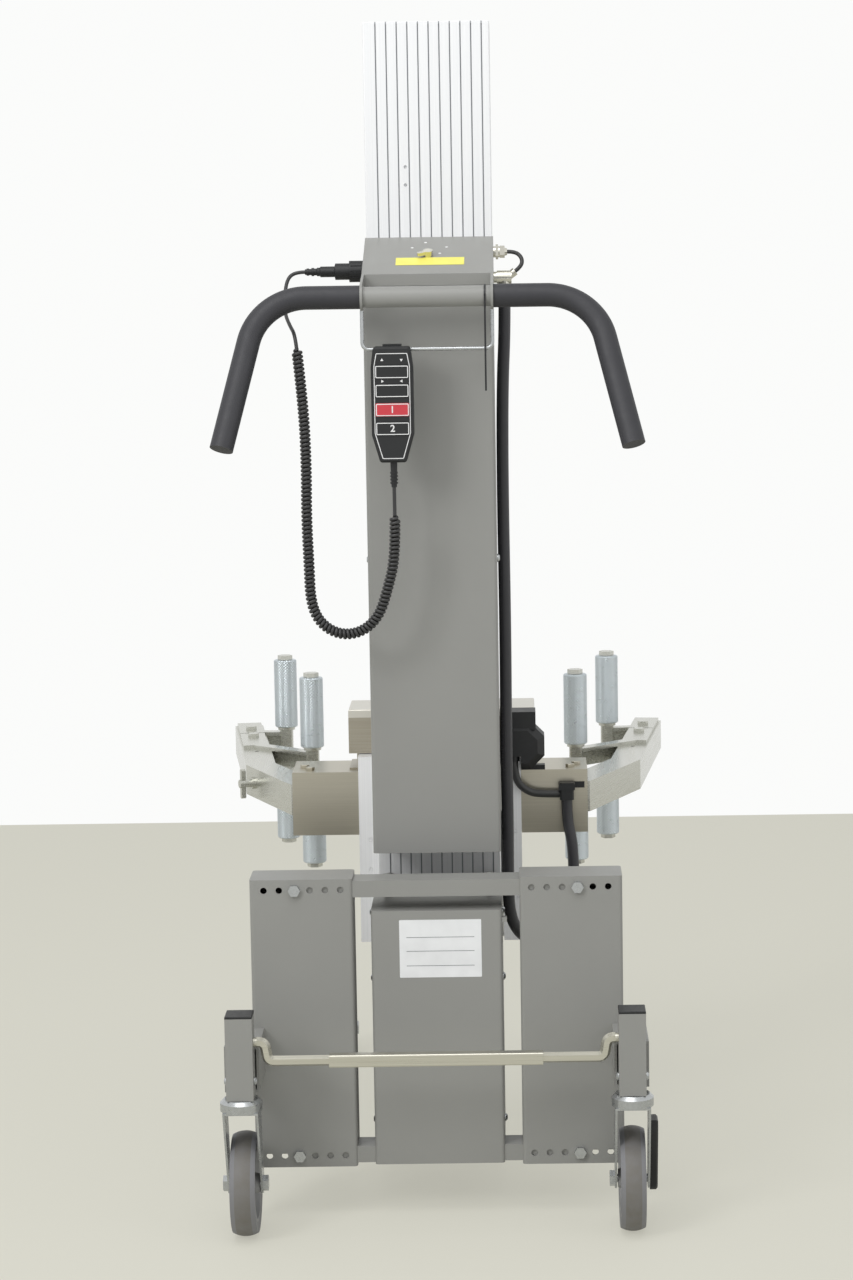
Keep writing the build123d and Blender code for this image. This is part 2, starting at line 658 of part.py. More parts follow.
# Cheeks that carry the mast from the crossbars
CHEEK_ROOF_Z = HOUSING_TOP_Z - SHEET - CHEEK_GAP
with BuildPart() as mast_cheek_right:
    with BuildSketch(Plane.YZ.offset(CHEEK_X - CHEEK_T / 2)):
        with BuildLine():
            Polyline(
                (BAR_FRONT_Y, UPPER_BAR_Z - BAR_H / 2), (BAR_FRONT_Y, UPPER_BAR_Z + BAR_H / 2),
                (MAST_REAR_Y, HOUSING_TOP_Z + 6), (MAST_REAR_Y, MAST_BOTTOM_Z),
                (BAR_FRONT_Y, MAST_BOTTOM_Z), (BAR_FRONT_Y, CHEEK_ROOF_Z),
                (HOUSING_ROOF_Y + SHEET, CHEEK_ROOF_Z), (HOUSING_ROOF_Y + SHEET, HOUSING_TOP_Z + CHEEK_GAP),
                close=True,
            )
        make_face()
    extrude(amount=CHEEK_T)
    with BuildSketch(Plane.XY.offset(MAST_BOTTOM_Z + 30)):
        with Locations((CHEEK_X - CHEEK_T / 2 - CHEEK_FLANGE_W / 2, MAST_REAR_Y - CHEEK_T / 2)):
            Rectangle(CHEEK_FLANGE_W, CHEEK_T)
    extrude(amount=CHEEK_ROOF_Z - MAST_BOTTOM_Z - 40)
    with BuildSketch(Plane.YZ.offset(CHEEK_X)):
        with Locations(*[(BOSS_Y, z) for z in BOSS_Z]):
            Circle(BOSS_D / 2)
    extrude(amount=HOUSING_W / 2 - SHEET - CHEEK_X)
    with BuildSketch(Plane.YZ.offset(CHEEK_X)):
        with Locations(*[(BOSS_Y, z) for z in BOSS_Z]):
            Circle(BOSS_HOLE_D / 2)
    extrude(amount=HOUSING_W / 2, mode=Mode.SUBTRACT)
pieces["mast_cheeks"] = Compound(children=[mast_cheek_right.part, mirrored(mast_cheek_right.part)])

# Centre housing: folded sheet, open below and towards the mast
HOUSING_REAR_Y = BAR_Y - BAR_D / 2 - SHEET
with BuildPart() as centre_housing:
    with BuildSketch(Plane.XY.offset(HOUSING_BOTTOM_Z)):
        with Locations((0, (HOUSING_REAR_Y + HOUSING_FRONT_Y) / 2)):
            Rectangle(HOUSING_W, HOUSING_FRONT_Y - HOUSING_REAR_Y)
    extrude(amount=HOUSING_TOP_Z - HOUSING_BOTTOM_Z)
    fillet(centre_housing.edges().filter_by(Axis.Z).group_by(Axis.Y)[0], FOLD_R)
    offset(amount=-SHEET, openings=[
        centre_housing.faces().sort_by(Axis.Z)[0],
        centre_housing.faces().sort_by(Axis.Y)[-1],
    ])
    with BuildSketch(Plane.XY.offset(HOUSING_TOP_Z - SHEET)):
        with Locations((0, (HOUSING_ROOF_Y + HOUSING_FRONT_Y) / 2)):
            Rectangle(HOUSING_W, HOUSING_FRONT_Y - HOUSING_ROOF_Y)
    extrude(amount=SHEET, mode=Mode.SUBTRACT)
    notch_top = LOWER_BAR_Z + BAR_H / 2 + SEAT_GAP
    with BuildSketch(Plane.YZ.offset(-HOUSING_W / 2)):
        with Locations((BAR_Y + SEAT_GAP / 2, (HOUSING_BOTTOM_Z + notch_top) / 2)):
            Rectangle(BAR_D + SEAT_GAP, notch_top - HOUSING_BOTTOM_Z)
    extrude(amount=HOUSING_W, mode=Mode.SUBTRACT)
    with BuildSketch(Plane.YZ.offset(-HOUSING_W / 2)):
        with Locations(*[(BOSS_Y, z) for z in BOSS_Z]):
            Circle(BOSS_HOLE_D / 2)
    extrude(amount=HOUSING_W, mode=Mode.SUBTRACT)
    with BuildSketch(Plane.YZ.offset(HOUSING_W / 2)):
        with Locations((HOUSING_REAR_Y + 8, HOUSING_TOP_Z - 13)):
            Rectangle(9, 6)
    extrude(amount=6)
pieces["centre_housing"] = centre_housing.part

# Rear cover: folded pan with flanges on the back of the mast
COVER_TOP_Z = HEAD_LIP_Z - COVER_GAP
with BuildPart() as rear_cover:
    with BuildSketch(Plane.XY.offset(COVER_BOTTOM_Z)):
        with Locations((0, (COVER_REAR_Y + MAST_REAR_Y) / 2)):
            Rectangle(COVER_W, MAST_REAR_Y - COVER_REAR_Y)
    extrude(amount=COVER_TOP_Z - COVER_BOTTOM_Z)
    fillet(rear_cover.edges().filter_by(Axis.Z).group_by(Axis.Y)[0], FOLD_R)
    offset(amount=-THIN_SHEET, openings=rear_cover.faces().sort_by(Axis.Y)[-1])
    for sign in (-1, 1):
        with BuildSketch(Plane.XY.offset(COVER_BOTTOM_Z)):
            with Locations((sign * (COVER_W - COVER_FLANGE) / 2, MAST_REAR_Y - THIN_SHEET / 2)):
                Rectangle(COVER_FLANGE, THIN_SHEET)
        extrude(amount=COVER_TOP_Z - COVER_BOTTOM_Z)
    with BuildSketch(Plane.YZ.offset(-COVER_W / 2)):
        with Locations((COVER_SCREW_Y, COVER_SCREW_Z)):
            Circle(DOME_SHANK_D / 2)
    extrude(amount=COVER_W, mode=Mode.SUBTRACT)
pieces["rear_cover"] = rear_cover.part

# Head box: sloped panel with a lip, and cheeks that reach down to the handlebar
SLOPE = math.degrees(math.atan2(HEAD_TOP_Z - HEAD_SLOPE_END_Z, MAST_REAR_Y - HEAD_REAR_Y))
SLOPE_SIN = math.sin(math.radians(SLOPE))
SLOPE_COS = math.cos(math.radians(SLOPE))
SWITCH_PLANE = Plane(
    origin=(0, SWITCH_AT_Y, HEAD_TOP_Z - (MAST_REAR_Y - SWITCH_AT_Y) * SLOPE_SIN / SLOPE_COS),
    x_dir=(1, 0, 0), z_dir=(0, -SLOPE_SIN, SLOPE_COS),
)
with BuildPart() as head_box:
    with BuildSketch(Plane.YZ.offset(-HEAD_W / 2)):
        with BuildLine():
            Polyline(
                (MAST_REAR_Y, HEAD_TOP_Z), (HEAD_REAR_Y, HEAD_SLOPE_END_Z),
                (HEAD_REAR_Y, HEAD_LIP_Z), (MAST_REAR_Y, HEAD_LIP_Z), close=True,
            )
        make_face()
    extrude(amount=HEAD_W)
    offset(amount=-SHEET, openings=head_box.faces().sort_by(Axis.Z)[0])
    for sign in (-1, 1):
        with BuildSketch(Plane(origin=(sign * HEAD_W / 2, 0, 0), x_dir=(0, 1, 0), z_dir=(1, 0, 0))):
            with Locations((HANDLE_Y, HANDLE_Z)):
                Circle(HEAD_LOBE_R)
            with BuildLine():
                Polyline(
                    (HEAD_REAR_Y + SHEET, HEAD_LIP_Z), (HEAD_REAR_Y, HEAD_LIP_Z),
                    (HEAD_REAR_Y, HEAD_SLOPE_END_Z), (HEAD_REAR_Y + SHEET, HEAD_SLOPE_END_Z), close=True,
                )
            make_face()
            make_hull()
        extrude(amount=-sign * SHEET)
        with BuildSketch(Plane(origin=(sign * HEAD_W / 2, 0, 0), x_dir=(0, 1, 0), z_dir=(1, 0, 0))):
            with Locations((HANDLE_Y, HANDLE_Z - HEAD_LOBE_R)):
                Rectangle(2 * HEAD_LOBE_R, 2)
        extrude(amount=-sign * SHEET, mode=Mode.SUBTRACT)
        with BuildSketch(Plane(origin=(sign * HEAD_W / 2, 0, 0), x_dir=(0, 1, 0), z_dir=(1, 0, 0))):
            with Locations((HANDLE_Y, HANDLE_Z)):
                Circle(HANDLE_D / 2)
        extrude(amount=-sign * SHEET, mode=Mode.SUBTRACT)
    with BuildSketch(SWITCH_PLANE):
        Circle(SWITCH_STEM_D / 2 + RUNNING_FIT)
    extrude(amount=-SHEET * 1.5, mode=Mode.SUBTRACT)
pieces["head_box"] = head_box.part

# Selector switch: round knob with a short lever, turning on its stem
with BuildPart() as selector:
    with BuildSketch(SWITCH_PLANE.offset(SPIN_GAP)):
        Circle(SWITCH_D / 2)
    extrude(amount=SWITCH_H)
    with BuildSketch(SWITCH_PLANE.offset(SPIN_GAP + SWITCH_H - 4)):
        with Locations(Location((0, 0), 215)):
            with Locations((SWITCH_LEVER / 2, 0)):
                SlotOverall(SWITCH_LEVER + 5, 5)
    extrude(amount=4)
    with BuildSketch(SWITCH_PLANE.offset(SPIN_GAP)):
        Circle(SWITCH_STEM_D / 2)
    extrude(amount=-(SHEET + 4))
pieces["selector_switch"] = selector.part

# Handlebar: one bent tube through both cheeks
END = Vector(*HANDLE_END)
CORNER = Vector(HANDLE_CORNER_X, HANDLE_Y, HANDLE_Z)
TIP = END + (CORNER - END).normalized() * GRIP_CAP
with BuildPart() as handlebar:
    with BuildLine() as bar_route:
        FilletPolyline(
            (-TIP.X, TIP.Y, TIP.Z), (-CORNER.X, CORNER.Y, CORNER.Z), CORNER, TIP, radius=HANDLE_BEND_R,
        )
    with BuildSketch(Plane(origin=bar_route.wire() @ 0, z_dir=bar_route.wire() % 0)):
        Circle(HANDLE_D / 2)
        Circle(HANDLE_D / 2 - HANDLE_WALL, mode=Mode.SUBTRACT)
    sweep()
pieces["handlebar"] = handlebar.part

# Rubber grips over both ends of the handlebar
with BuildPart() as grip_right:
    with BuildLine() as grip_route:
        FilletPolyline((HEAD_W / 2, HANDLE_Y, HANDLE_Z), CORNER, END, radius=HANDLE_BEND_R)
    with BuildSketch(Plane(origin=grip_route.wire() @ 0, z_dir=grip_route.wire() % 0)):
        Circle(GRIP_D / 2)
    sweep()
    with BuildLine() as core_route:
        FilletPolyline((HEAD_W / 2, HANDLE_Y, HANDLE_Z), CORNER, TIP, radius=HANDLE_BEND_R)
    with BuildSketch(Plane(origin=core_route.wire() @ 0, z_dir=core_route.wire() % 0)):
        Circle(HANDLE_D / 2)
    sweep(mode=Mode.SUBTRACT)
pieces["grip_right"] = grip_right.part
pieces["grip_left"] = mirrored(grip_right.part)

# Wire hanger under the handlebar
HANGER_X = HEAD_W / 2 - SHEET / 2
HANGER_TOP_Z = HANDLE_Z - HEAD_LOBE_R + 1
with BuildPart() as wire_hanger:
    with BuildLine() as hanger_route:
        FilletPolyline(
            (-HANGER_X, HANDLE_Y, HANGER_TOP_Z), (-HANGER_X, HANDLE_Y, HANGER_DROP_Z),
            (HANGER_X, HANDLE_Y, HANGER_DROP_Z), (HANGER_X, HANDLE_Y, HANGER_TOP_Z),
            radius=HANGER_BEND_R,
        )
    with BuildSketch(Plane(origin=hanger_route.wire() @ 0, z_dir=hanger_route.wire() % 0)):
        Circle(HANGER_D / 2)
    sweep()
pieces["wire_hanger"] = wire_hanger.part

# Handset: tapered case with key pockets, a hook behind and a strain relief below
HANDSET_BACK_Y = HANDLE_Y - HANGER_D / 2 - HOOK_T / 2
HANDSET_FRONT_Y = HANDSET_BACK_Y - HANDSET_T
HANDSET_Y = (HANDSET_BACK_Y + HANDSET_FRONT_Y) / 2
KEY_ZS = [KEY_TOP_Z - i * KEY_PITCH for i in range(4)]
HOOK_TOP_Z = HANGER_DROP_Z + HANGER_D / 2
with BuildPart() as handset:
    with BuildSketch(Plane.XZ.offset(-HANDSET_BACK_Y)) as case_outline:
        with BuildLine():
            Polyline(
                (HANDSET_X - HANDSET_TOP_W / 2, HANDSET_TOP_Z), (HANDSET_X + HANDSET_TOP_W / 2, HANDSET_TOP_Z),
                (HANDSET_X + HANDSET_W / 2, HANDSET_TOP_Z - 24), (HANDSET_X + HANDSET_W / 2, HANDSET_TOP_Z - 104),
                (HANDSET_X + HANDSET_BOTTOM_W / 2, HANDSET_BOTTOM_Z),
                (HANDSET_X - HANDSET_BOTTOM_W / 2, HANDSET_BOTTOM_Z),
                (HANDSET_X - HANDSET_W / 2, HANDSET_TOP_Z - 104), (HANDSET_X - HANDSET_W / 2, HANDSET_TOP_Z - 24),
                close=True,
            )
        make_face()
        fillet(case_outline.vertices(), 4)
    extrude(amount=HANDSET_T)
    chamfer(handset.faces().sort_by(Axis.Y)[0].edges(), 2.5)
    with BuildSketch(Plane.XZ.offset(-HANDSET_FRONT_Y)):
        with Locations(*[(HANDSET_X, z) for z in KEY_ZS]):
            RectangleRounded(KEY_W + 2 * KEY_GAP, KEY_H + 2 * KEY_GAP, 2)
    extrude(amount=-(KEY_T - KEY_PROUD + KEY_TRAVEL + KEY_GAP), mode=Mode.SUBTRACT)
    with BuildSketch(Plane.YZ.offset(HANDSET_X - HOOK_W / 2)):
        with BuildLine():
            Polyline(
                (HANDSET_BACK_Y, HOOK_TOP_Z - 12), (HANDSET_BACK_Y, HOOK_TOP_Z + HOOK_T),
                (HANDLE_Y + HANGER_D / 2 + HOOK_T + 1, HOOK_TOP_Z + HOOK_T),
                (HANDLE_Y + HANGER_D / 2 + HOOK_T + 1, HANGER_DROP_Z - 10),
                (HANDLE_Y + HANGER_D / 2 + 1, HANGER_DROP_Z - 10),
                (HANDLE_Y + HANGER_D / 2 + 1, HOOK_TOP_Z),
                (HANDLE_Y - HANGER_D / 2 - 0.3, HOOK_TOP_Z), (HANDLE_Y - HANGER_D / 2 - 0.3, HOOK_TOP_Z - 12),
                close=True,
            )
        make_face()
    extrude(amount=HOOK_W)
    with BuildSketch(Plane.XZ.offset(-HANDSET_BACK_Y)):
        with Locations((HANDSET_X, HOOK_TOP_Z + HOOK_T / 2)):
            Rectangle(HOOK_W, HOOK_T)
    extrude(amount=HANDSET_T / 2)
    with BuildSketch(Plane.XY.offset(HANDSET_BOTTOM_Z)):
        with Locations((HANDSET_X, HANDSET_Y)):
            Circle(4.3)
    extrude(amount=-30, taper=2)
    for ring in range(4):
        with BuildSketch(Plane.XY.offset(HANDSET_BOTTOM_Z - 12 - ring * 4)):
            with Locations((HANDSET_X, HANDSET_Y)):
                Circle(4.7)
        extrude(amount=-1.8)
pieces["handset"] = handset.part

for number, key_z in enumerate(KEY_ZS, start=1):
    with BuildPart() as key:
        with BuildSketch(Plane.XZ.offset(-HANDSET_FRONT_Y + KEY_PROUD)):
            with Locations((HANDSET_X, key_z)):
                RectangleRounded(KEY_W, KEY_H, 1.7)
        extrude(amount=-KEY_T)
        chamfer(key.faces().sort_by(Axis.Y)[0].edges(), 0.5)
    pieces[f"handset_key_{number}"] = key.part

# Plug of the handset cord on the left of the head
with BuildPart() as cord_plug:
    with BuildSketch(Plane(origin=(-HEAD_W / 2, PLUG_Y, PLUG_Z), x_dir=(-1, 0, 0), z_dir=(0, -1, 0))):
        with BuildLine():
            Polyline(
                (0, 0), (0, 13), (17, 13), (17, 10), (34, 10), (35, 6.5), (52, 6.5), (53, 5.2), (56, 5.2),
                (57, 4.2), (60, 4.2), (60, 5), (63, 5), (63, 3.8), (66, 3.8), (66, 4.4), (69, 4.4),
                (69, 3.4), (71, 3.4), (71, 0), close=True,
            )
        make_face()
    revolve(axis=Axis((0, PLUG_Y, PLUG_Z), (1, 0, 0)))
    knurl = PolarLocations(13, 12)
    with BuildSketch(Plane(origin=(-HEAD_W / 2 - 2, PLUG_Y, PLUG_Z), z_dir=(-1, 0, 0))):
        with knurl:
            Circle(1)
    extrude(amount=13, mode=Mode.SUBTRACT)
pieces["cord_plug"] = cord_plug.part

# Gland and angled connector on the right of the head
SOCKET_OUT = HEAD_W / 2
with BuildPart() as right_gland:
    with BuildSketch(Plane(origin=(SOCKET_OUT, GLAND_Y, GLAND_Z), z_dir=(1, 0, 0))):
        Circle(7)
    extrude(amount=8)
    with BuildSketch(Plane(origin=(SOCKET_OUT + 3, GLAND_Y, GLAND_Z), z_dir=(1, 0, 0))):
        RegularPolygon(8, 6, major_radius=False)
    extrude(amount=3)
    with BuildSketch(Plane(origin=(SOCKET_OUT + 8, GLAND_Y, GLAND_Z), z_dir=(1, 0, 0))):
        RegularPolygon(6.5, 6, major_radius=False)
    extrude(amount=6)
    with BuildSketch(Plane(origin=(SOCKET_OUT + 14, GLAND_Y, GLAND_Z), z_dir=(1, 0, 0))):
        Circle(5)
    extrude(amount=3, taper=15)
ELBOW_DIR = Vector(0.8, 0, 0.6)
ELBOW_AT = Vector(SOCKET_OUT + 17, SOCKET_Y, SOCKET_Z)
ELBOW_TIP = ELBOW_AT + ELBOW_DIR * 12
with BuildPart() as right_socket:
    with BuildSketch(Plane(origin=(SOCKET_OUT, SOCKET_Y, SOCKET_Z), z_dir=(1, 0, 0))):
        Circle(7)
    extrude(amount=4)
    with BuildSketch(Plane(origin=(SOCKET_OUT + 4, SOCKET_Y, SOCKET_Z), z_dir=(1, 0, 0))):
        Circle(8.5)
    extrude(amount=18)
    with BuildSketch(Plane(origin=ELBOW_AT, z_dir=ELBOW_DIR)):
        Circle(5)
    extrude(amount=12)
    with BuildSketch(Plane(origin=(SOCKET_OUT + 13, SOCKET_Y, SOCKET_Z), z_dir=(0, 0, -1))):
        Circle(SLEEVE_D / 2)
    extrude(amount=13)
pieces["head_fittings"] = Compound(children=[right_gland.part, right_socket.part])

# Carriage: plate in front of the mast with wings along its sides and a drive lug
with BuildPart() as carriage_frame:
    with BuildSketch(Plane.XY.offset(CARRIAGE_BOTTOM_Z)):
        with Locations((0, (WING_REAR_Y + PLATE_Y1) / 2)):
            Rectangle(CARRIAGE_W, PLATE_Y1 - WING_REAR_Y)
        with Locations((0, (WING_REAR_Y + PLATE_Y0) / 2)):
            Rectangle(2 * WING_INNER_X, PLATE_Y0 - WING_REAR_Y, mode=Mode.SUBTRACT)
    extrude(amount=CARRIAGE_TOP_Z - CARRIAGE_BOTTOM_Z)
    with BuildSketch(Plane.XZ.offset(-PLATE_Y0)):
        with Locations((0, (GRIP_BOX_BOTTOM_Z + GRIP_BOX_TOP_Z) / 2)):
            Rectangle(SLOT_W - 2 * LUG_SIDE_GAP, LUG_H)
    extrude(amount=LUG_DEEP)
    for screw_x, screw_z in ((-90, 412), (-90, 373), (102, 421)):
        with BuildSketch(Plane.XZ.offset(-WING_REAR_Y)):
            with Locations((min(max(screw_x, -96), 96), screw_z)):
                Circle(2.7)
        extrude(amount=-2, mode=Mode.SUBTRACT)
        with BuildSketch(Plane.XZ.offset(-WING_REAR_Y - 2)):
            with Locations((min(max(screw_x, -96), 96), screw_z)):
                Circle(2.2)
        extrude(amount=1.4)
pieces["carriage_frame"] = carriage_frame.part

# Plastic guide shoes in the side grooves and on the front of the mast
shoes = []
for shoe_z in (CARRIAGE_BOTTOM_Z + SHOE_INSET, CARRIAGE_TOP_Z - SHOE_INSET - SHOE_H):
    with BuildPart() as side_shoe:
        with BuildSketch(Plane.XY.offset(shoe_z)):
            with Locations((MAST_W / 2 + (CARRIAGE_SIDE_GAP + SLIDE_GAP) / 2, (WING_REAR_Y + MAST_FRONT_Y) / 2)):
                Rectangle(CARRIAGE_SIDE_GAP - SLIDE_GAP, CARRIAGE_WRAP)
            tongue = SIDE_GROOVE_DEEP - SLIDE_GAP + CARRIAGE_SIDE_GAP
            with Locations((WING_INNER_X - tongue / 2, SIDE_GROOVE_Y)):
                Rectangle(tongue, SIDE_GROOVE_W - 2 * SLIDE_GAP)
        extrude(amount=SHOE_H)
    shoes.append(side_shoe.part)
    shoes.append(mirrored(side_shoe.part))
    with BuildPart() as front_pad:
        with BuildSketch(Plane.XY.offset(shoe_z)):
            with Locations((MAST_W / 4 + 8, (MAST_FRONT_Y + SLIDE_GAP + PLATE_Y0) / 2)):
                Rectangle(MAST_W / 4 - 6, PAD_GAP - SLIDE_GAP)
        extrude(amount=SHOE_H)
    shoes.append(front_pad.part)
    shoes.append(mirrored(front_pad.part))

# Gripper box: stainless sheet round the arm roots, notched over the carriage
NOTCH_W = CARRIAGE_W + 2 * SEAT_GAP
with BuildPart() as gripper_box:
    with BuildSketch(Plane.XY.offset(GRIP_BOX_BOTTOM_Z)):
        with Locations((0, (GRIP_BOX_REAR_Y + GRIP_BOX_FRONT_Y) / 2)):
            Rectangle(2 * GRIP_BOX_HALF, GRIP_BOX_FRONT_Y - GRIP_BOX_REAR_Y)
        with Locations((0, (GRIP_BOX_REAR_Y + PLATE_Y1) / 2)):
            Rectangle(NOTCH_W, PLATE_Y1 - GRIP_BOX_REAR_Y, mode=Mode.SUBTRACT)
    extrude(amount=GRIP_BOX_TOP_Z - GRIP_BOX_BOTTOM_Z)
    with BuildSketch(Plane.XY.offset(GRIP_BOX_BOTTOM_Z + SHEET)):
        with Locations((0, (GRIP_BOX_REAR_Y + GRIP_BOX_FRONT_Y) / 2)):
            Rectangle(2 * GRIP_BOX_HALF + 2, GRIP_BOX_FRONT_Y - GRIP_BOX_REAR_Y - 2 * SHEET)
        with Locations((0, (GRIP_BOX_REAR_Y + PLATE_Y1) / 2)):
            Rectangle(NOTCH_W + 2 * SHEET, PLATE_Y1 + 2 * SHEET - GRIP_BOX_REAR_Y, mode=Mode.SUBTRACT)
    extrude(amount=GRIP_BOX_TOP_Z - GRIP_BOX_BOTTOM_Z - 2 * SHEET, mode=Mode.SUBTRACT)
    for sign in (-1, 1):
        with BuildSketch(Plane.XZ.offset(-GRIP_BOX_FRONT_Y)):
            with Locations((sign * (GRIP_BOX_HALF + ELBOW_WINDOW_X) / 2, ARM_Z)):
                Rectangle(GRIP_BOX_HALF - ELBOW_WINDOW_X, ARM_W + 2 * ELBOW_WINDOW_GAP)
        extrude(amount=SHEET, mode=Mode.SUBTRACT)

# Guides that carry the arm roots inside the box, and bolts on its roof
with BuildPart() as arm_guide:
    guide_y0 = ARM_ROOT_Y - ARM_W / 2 - SHEET - 2
    with BuildSketch(Plane.YZ.offset(ELBOW_WINDOW_X - GUIDE_LEN - 3)):
        with Locations(((guide_y0 + GRIP_BOX_FRONT_Y - SHEET) / 2, (GRIP_BOX_BOTTOM_Z + GRIP_BOX_TOP_Z) / 2)):
            Rectangle(GRIP_BOX_FRONT_Y - SHEET - guide_y0, GRIP_BOX_TOP_Z - GRIP_BOX_BOTTOM_Z - 2 * SHEET)
        with Locations((ARM_ROOT_Y, ARM_Z)):
            Rectangle(ARM_W + 2 * SLIDE_GAP, ARM_W + 2 * SLIDE_GAP, mode=Mode.SUBTRACT)
    extrude(amount=GUIDE_LEN)
shoes.append(arm_guide.part)
shoes.append(mirrored(arm_guide.part))
pieces["slide_guides"] = Compound(children=shoes)

with BuildPart() as box_bolts:
    for bolt_x, bolt_y in ((168, -40), (176, -22), (-168, -40), (-176, -22)):
        with BuildSketch(Plane.XY.offset(GRIP_BOX_TOP_Z)):
            with Locations((bolt_x, bolt_y)):
                RegularPolygon(5, 6, major_radius=False)
        extrude(amount=4)
    chamfer(box_bolts.faces().group_by(Axis.Z)[-1].edges(), 0.5)
pieces["gripper_box"] = Compound(children=[gripper_box.part, *box_bolts.part.solids()])

# Hood: closed upper box on a narrower skirt with a flange between them
HOOD_MID_X = (HOOD_X0 + HOOD_X1) / 2
with BuildPart() as hood:
    with BuildSketch(Plane.XY.offset(HOOD_FLANGE_Z)):
        with Locations((HOOD_MID_X, HOOD_REAR_Y + HOOD_D / 2)):
            Rectangle(HOOD_X1 - HOOD_X0, HOOD_D)
    extrude(amount=HOOD_TOP_Z - HOOD_FLANGE_Z)
    fillet(hood.faces().sort_by(Axis.Z)[-1].edges(), 2)
    with BuildSketch(Plane.XY.offset(GRIP_BOX_TOP_Z)):
        skirt_y0 = PLATE_Y1 + SEAT_GAP
        skirt_y1 = GRIP_BOX_FRONT_Y
        with Locations((HOOD_MID_X, (skirt_y0 + skirt_y1) / 2)):
            Rectangle(HOOD_X1 - HOOD_X0 - 2 * HOOD_STEP, skirt_y1 - skirt_y0)
    extrude(amount=HOOD_FLANGE_Z - GRIP_BOX_TOP_Z)
    with BuildSketch(Plane.XY.offset(GRIP_BOX_TOP_Z)):
        with Locations((HOOD_MID_X, (skirt_y0 + skirt_y1) / 2)):
            Rectangle(HOOD_X1 - HOOD_X0, skirt_y1 - skirt_y0)
    extrude(amount=THIN_SHEET)
pieces["hood"] = hood.part

# Gear motor behind the hood, with an octagonal bevelled end and a foot
with BuildPart() as gear_motor:
    with BuildSketch(Plane.XZ.offset(-HOOD_REAR_Y)):
        with Locations((MOTOR_X, MOTOR_Z)):
            RegularPolygon(MOTOR_AF / 2, 8, major_radius=False, rotation=22.5)
    extrude(amount=HOOD_REAR_Y - MOTOR_REAR_Y)
    chamfer(gear_motor.faces().sort_by(Axis.Y)[0].edges(), 9)
    with BuildSketch(Plane.XY.offset(MOTOR_Z + MOTOR_AF / 2 - 8)):
        with Locations((MOTOR_X + 3, (MOTOR_REAR_Y + HOOD_REAR_Y) / 2 + 1)):
            Rectangle(32, HOOD_REAR_Y - MOTOR_REAR_Y - 4)
    extrude(amount=23)
    with BuildSketch(Plane.XY.offset(GRIP_BOX_TOP_Z)):
        with Locations((CARRIAGE_W / 2 + 16, (GRIP_BOX_REAR_Y + HOOD_REAR_Y) / 2)):
            Rectangle(30, HOOD_REAR_Y - GRIP_BOX_REAR_Y)
    extrude(amount=6)
    with BuildSketch(Plane.XY.offset(GRIP_BOX_TOP_Z)):
        with Locations((CARRIAGE_W / 2 - 25 + SEAT_GAP, (MOTOR_REAR_Y + HOOD_REAR_Y) / 2)):
            Rectangle(50, HOOD_REAR_Y - MOTOR_REAR_Y + 4)
    extrude(amount=HOOD_FLANGE_Z - GRIP_BOX_TOP_Z, mode=Mode.SUBTRACT)
    with BuildSketch(Plane.XY.offset(GRIP_BOX_TOP_Z)):
        with Locations((MAST_W / 2 - 15, (MOTOR_REAR_Y + HOOD_REAR_Y) / 2)):
            Rectangle(36, HOOD_REAR_Y - MOTOR_REAR_Y + 4)
    extrude(amount=HOOD_TOP_Z + 10 - GRIP_BOX_TOP_Z, mode=Mode.SUBTRACT)
    with BuildSketch(Plane.XY.offset(HOOD_FLANGE_Z)):
        with Locations((MOTOR_GLAND_X, MOTOR_REAR_Y + 10)):
            Circle(7)
    extrude(amount=-7)
pieces["gear_motor"] = gear_motor.part

# Cable joint with its clip on the back of the gripper box
JOINT_BLOCK_Z0 = 462.0
with BuildPart() as cable_joint:
    with BuildSketch(Plane.XY.offset(JOINT_BLOCK_Z0)):
        with Locations((JOINT_BLOCK_X, JOINT_BLOCK_Y)):
            Rectangle(18, 18)
    extrude(amount=22)
    fillet(cable_joint.edges().filter_by(Axis.Z), 3)
with BuildPart() as joint_clip:
    with BuildSketch(Plane.XY.offset(JOINT_BLOCK_Z0 + 13)):
        with Locations((JOINT_BLOCK_X, GRIP_BOX_REAR_Y - 10.2)):
            Rectangle(20.8, 20.4)
        with Locations((JOINT_BLOCK_X, JOINT_BLOCK_Y)):
            Rectangle(18.2, 18.2, mode=Mode.SUBTRACT)
        with Locations((JOINT_BLOCK_X + 16, GRIP_BOX_REAR_Y - 0.7)):
            Rectangle(14, 1.4)
        with Locations((JOINT_BLOCK_X, GRIP_BOX_REAR_Y - 0.7)):
            Rectangle(20.8, 1.4)
    extrude(amount=8)
pieces["cable_joint"] = Compound(children=[cable_joint.part, joint_clip.part])

# Bent arm: square tube from the guide out to its closed tip
ARM_LINE = [(ARM_ROOT_X, ARM_ROOT_Y), ARM_BEND_1, ARM_BEND_2, (ARM_TIP_X, ARM_TIP_Y)]
ARM_TOP_Z = ARM_Z + ARM_W / 2
tip_dx = ARM_TIP_X - ARM_BEND_2[0]
tip_dy = ARM_TIP_Y - ARM_BEND_2[1]
tip_len = math.hypot(tip_dx, tip_dy)
TIP_UNIT = (tip_dx / tip_len, tip_dy / tip_len)


def on_arm(y):
    """Centre of the outer arm length at the stated Y."""
    return (ARM_BEND_2[0] + (y - ARM_BEND_2[1]) * tip_dx / tip_dy, y)


